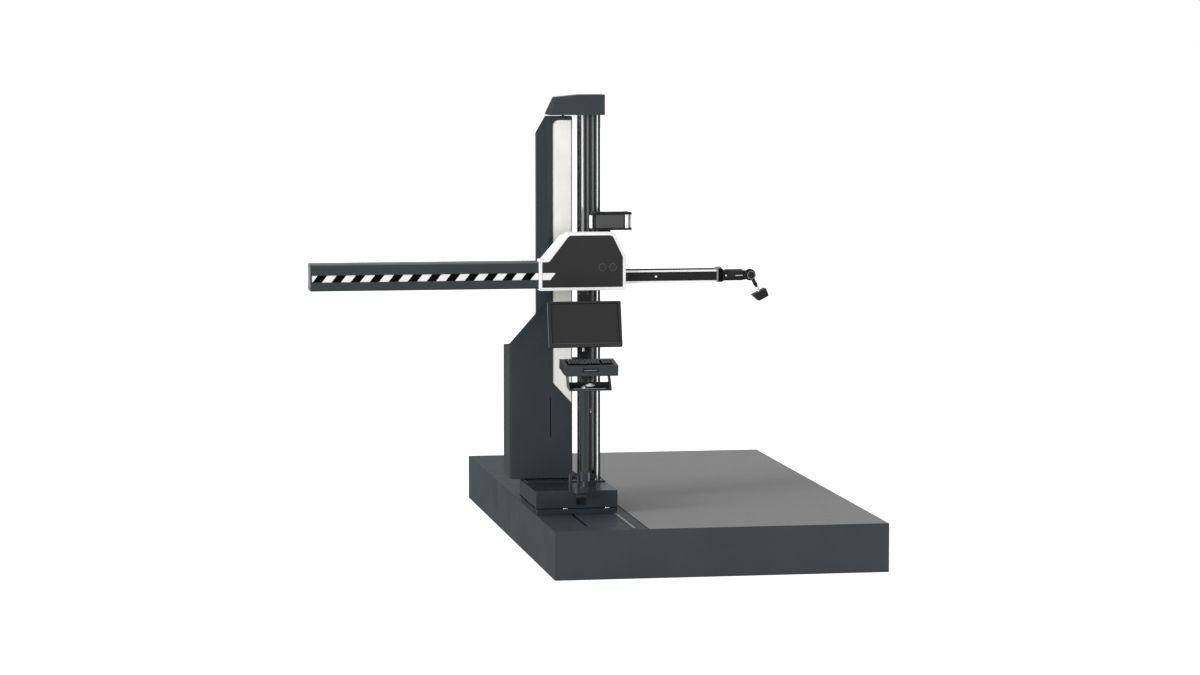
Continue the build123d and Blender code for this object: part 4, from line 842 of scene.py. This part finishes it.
def buildTrayFittings():
    shape = bmesh.new()
    for bar in slotBarAndLipHighlight:
        addBlock(shape, (0, 0, 0), bar, trayHinge)
    finishPiece("traySlotBarAndLipHighlight", shape, "glideAndHighlight", "tray")
    low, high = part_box("tray_bracket")
    center = (high.x - trayKnob["sunk"], trayKnob["y"], low.z + trayKnob["rise"])
    shape = bmesh.new()
    addPeg(shape, center, toRight, trayKnob["grip"])
    addPeg(shape, center, toRight, trayKnob["pin"])
    finishPiece("trayKnob", shape, "blackSteelAndShade", "stand")
    wheel = trayHinge @ Matrix.Translation(mouseWheel["at"])
    shape = bmesh.new()
    addPeg(shape, wheel.translation, trayHinge.to_3x3() @ Vector(toBack), mouseWheel)
    finishPiece("mouseWheel", shape, "rubber", "tray")


# both are placed in the monitor hinge's frame
monitorButton = {"count": 5, "start": 0.155, "pitch": 0.016, "from": (0, -0.0692, -0.1515),
                 "to": (0.009, -0.067, -0.1485), "rim": 0.0005}
monitorPort = {"spans": ((-0.20, -0.165), (-0.15, -0.13), (-0.12, -0.10)), "y": (-0.0335, -0.0305),
               "z": (-0.110, -0.098), "rim": 0.001}


def buildMonitorFittings():
    shape = bmesh.new()
    for i in range(monitorButton["count"]):
        addBlock(shape, (monitorButton["start"] + monitorButton["pitch"] * i, 0, 0), monitorButton, monitorHinge)
    finishPiece("monitorButtons", shape, "keyTop", "monitor")
    front, back = monitorPort["y"]
    foot, top = monitorPort["z"]
    shape = bmesh.new()
    for start, end in monitorPort["spans"]:
        addBox(shape, (start, front, foot), (end, back, top), monitorPort["rim"], monitorHinge)
    finishPiece("monitorPorts", shape, "blackSteelAndShade", "monitor")


for build in (buildStripScrews, buildSlotBelt, buildFlangeBolts, buildSeamPieces, buildCoverScrews,
              buildCabinetFittings, buildDuctTrim, buildCamHighlightDot, buildHousingScrews, buildBoxFittings,
              buildArmFittings, buildStemSleeve, buildWristRing, buildStandFittings, buildTrayFittings,
              buildMonitorFittings):
    build()
print("added pieces built")


# Floor, lamp and camera

stageValues = {"floorRadius": 90, "floorSegments": 96, "floorColor": 0.8, "floorRoughness": 0.9, "floorGlow": 0.72,
               "world": 0.61}
cameraValues = {"place": (-5.003, -26.322, 3.824), "yaw": 9.76, "pitch": -5.11, "lens": 111.03, "sensor": 36,
                "clipEnd": 200}
lamps = {
    "keySun": {"from": (-0.93, -0.36, 0.14), "distance": 12, "strength": 3.5, "angle": 25},
}
white = (1, 1, 1, 1)


def raysSeen(tree):
    path = tree.nodes.new("ShaderNodeLightPath")
    total = None
    for ray in ("Is Camera Ray", "Is Glossy Ray", "Is Transmission Ray"):
        if total is None:
            total = path.outputs[ray]
            continue
        add = tree.nodes.new("ShaderNodeMath")
        add.operation = "MAXIMUM"
        tree.links.new(total, add.inputs[0])
        tree.links.new(path.outputs[ray], add.inputs[1])
        total = add.outputs[0]
    return total


def buildFloor():
    mesh = bpy.data.meshes.new("floor")
    shape = bmesh.new()
    bmesh.ops.create_circle(shape, cap_ends=True, segments=stageValues["floorSegments"],
                            radius=stageValues["floorRadius"])
    shape.to_mesh(mesh)
    shape.free()
    floor = bpy.data.objects.new("floor", mesh)
    bpy.context.collection.objects.link(floor)
    material = bpy.data.materials.new("floorPaper")
    material.use_nodes = True
    tree = material.node_tree
    shader = tree.nodes["Principled BSDF"]
    level = stageValues["floorColor"]
    shader.inputs["Base Color"].default_value = (level, level, level, 1)
    shader.inputs["Roughness"].default_value = stageValues["floorRoughness"]
    shader.inputs["Specular IOR Level"].default_value = 0
    shader.inputs["Emission Color"].default_value = white
    glow = tree.nodes.new("ShaderNodeMath")
    glow.operation = "MULTIPLY"
    glow.inputs[1].default_value = stageValues["floorGlow"]
    tree.links.new(raysSeen(tree), glow.inputs[0])
    tree.links.new(glow.outputs[0], shader.inputs["Emission Strength"])
    mesh.materials.append(material)


def buildWorld():
    world = bpy.data.worlds.new("paperRoom")
    bpy.context.scene.world = world
    world.use_nodes = True
    tree = world.node_tree
    background = tree.nodes["Background"]
    background.inputs["Color"].default_value = white
    level = tree.nodes.new("ShaderNodeMapRange")
    level.inputs["To Min"].default_value = stageValues["world"]
    level.inputs["To Max"].default_value = 1
    tree.links.new(raysSeen(tree), level.inputs["Value"])
    tree.links.new(level.outputs["Result"], background.inputs["Strength"])


def buildLamps():
    for name, values in lamps.items():
        light = bpy.data.lights.new(name, "SUN")
        light.energy = values["strength"]
        light.angle = math.radians(values["angle"])
        lamp = bpy.data.objects.new(name, light)
        bpy.context.collection.objects.link(lamp)
        lamp.location = Vector(values["from"]) * values["distance"]
        lamp.rotation_euler = Vector(values["from"]).to_track_quat("Z", "Y").to_euler()


def buildCamera():
    lens = bpy.data.cameras.new("photoCamera")
    lens.lens = cameraValues["lens"]
    lens.sensor_width = cameraValues["sensor"]
    lens.clip_end = cameraValues["clipEnd"]
    camera = bpy.data.objects.new("photoCamera", lens)
    bpy.context.collection.objects.link(camera)
    camera.location = cameraValues["place"]
    camera.rotation_euler = (math.radians(90 + cameraValues["pitch"]), 0, math.radians(-cameraValues["yaw"]))
    bpy.context.scene.camera = camera


buildFloor()
buildWorld()
buildLamps()
buildCamera()
bpy.context.scene.view_settings.view_transform = "Standard"
print("stage built")
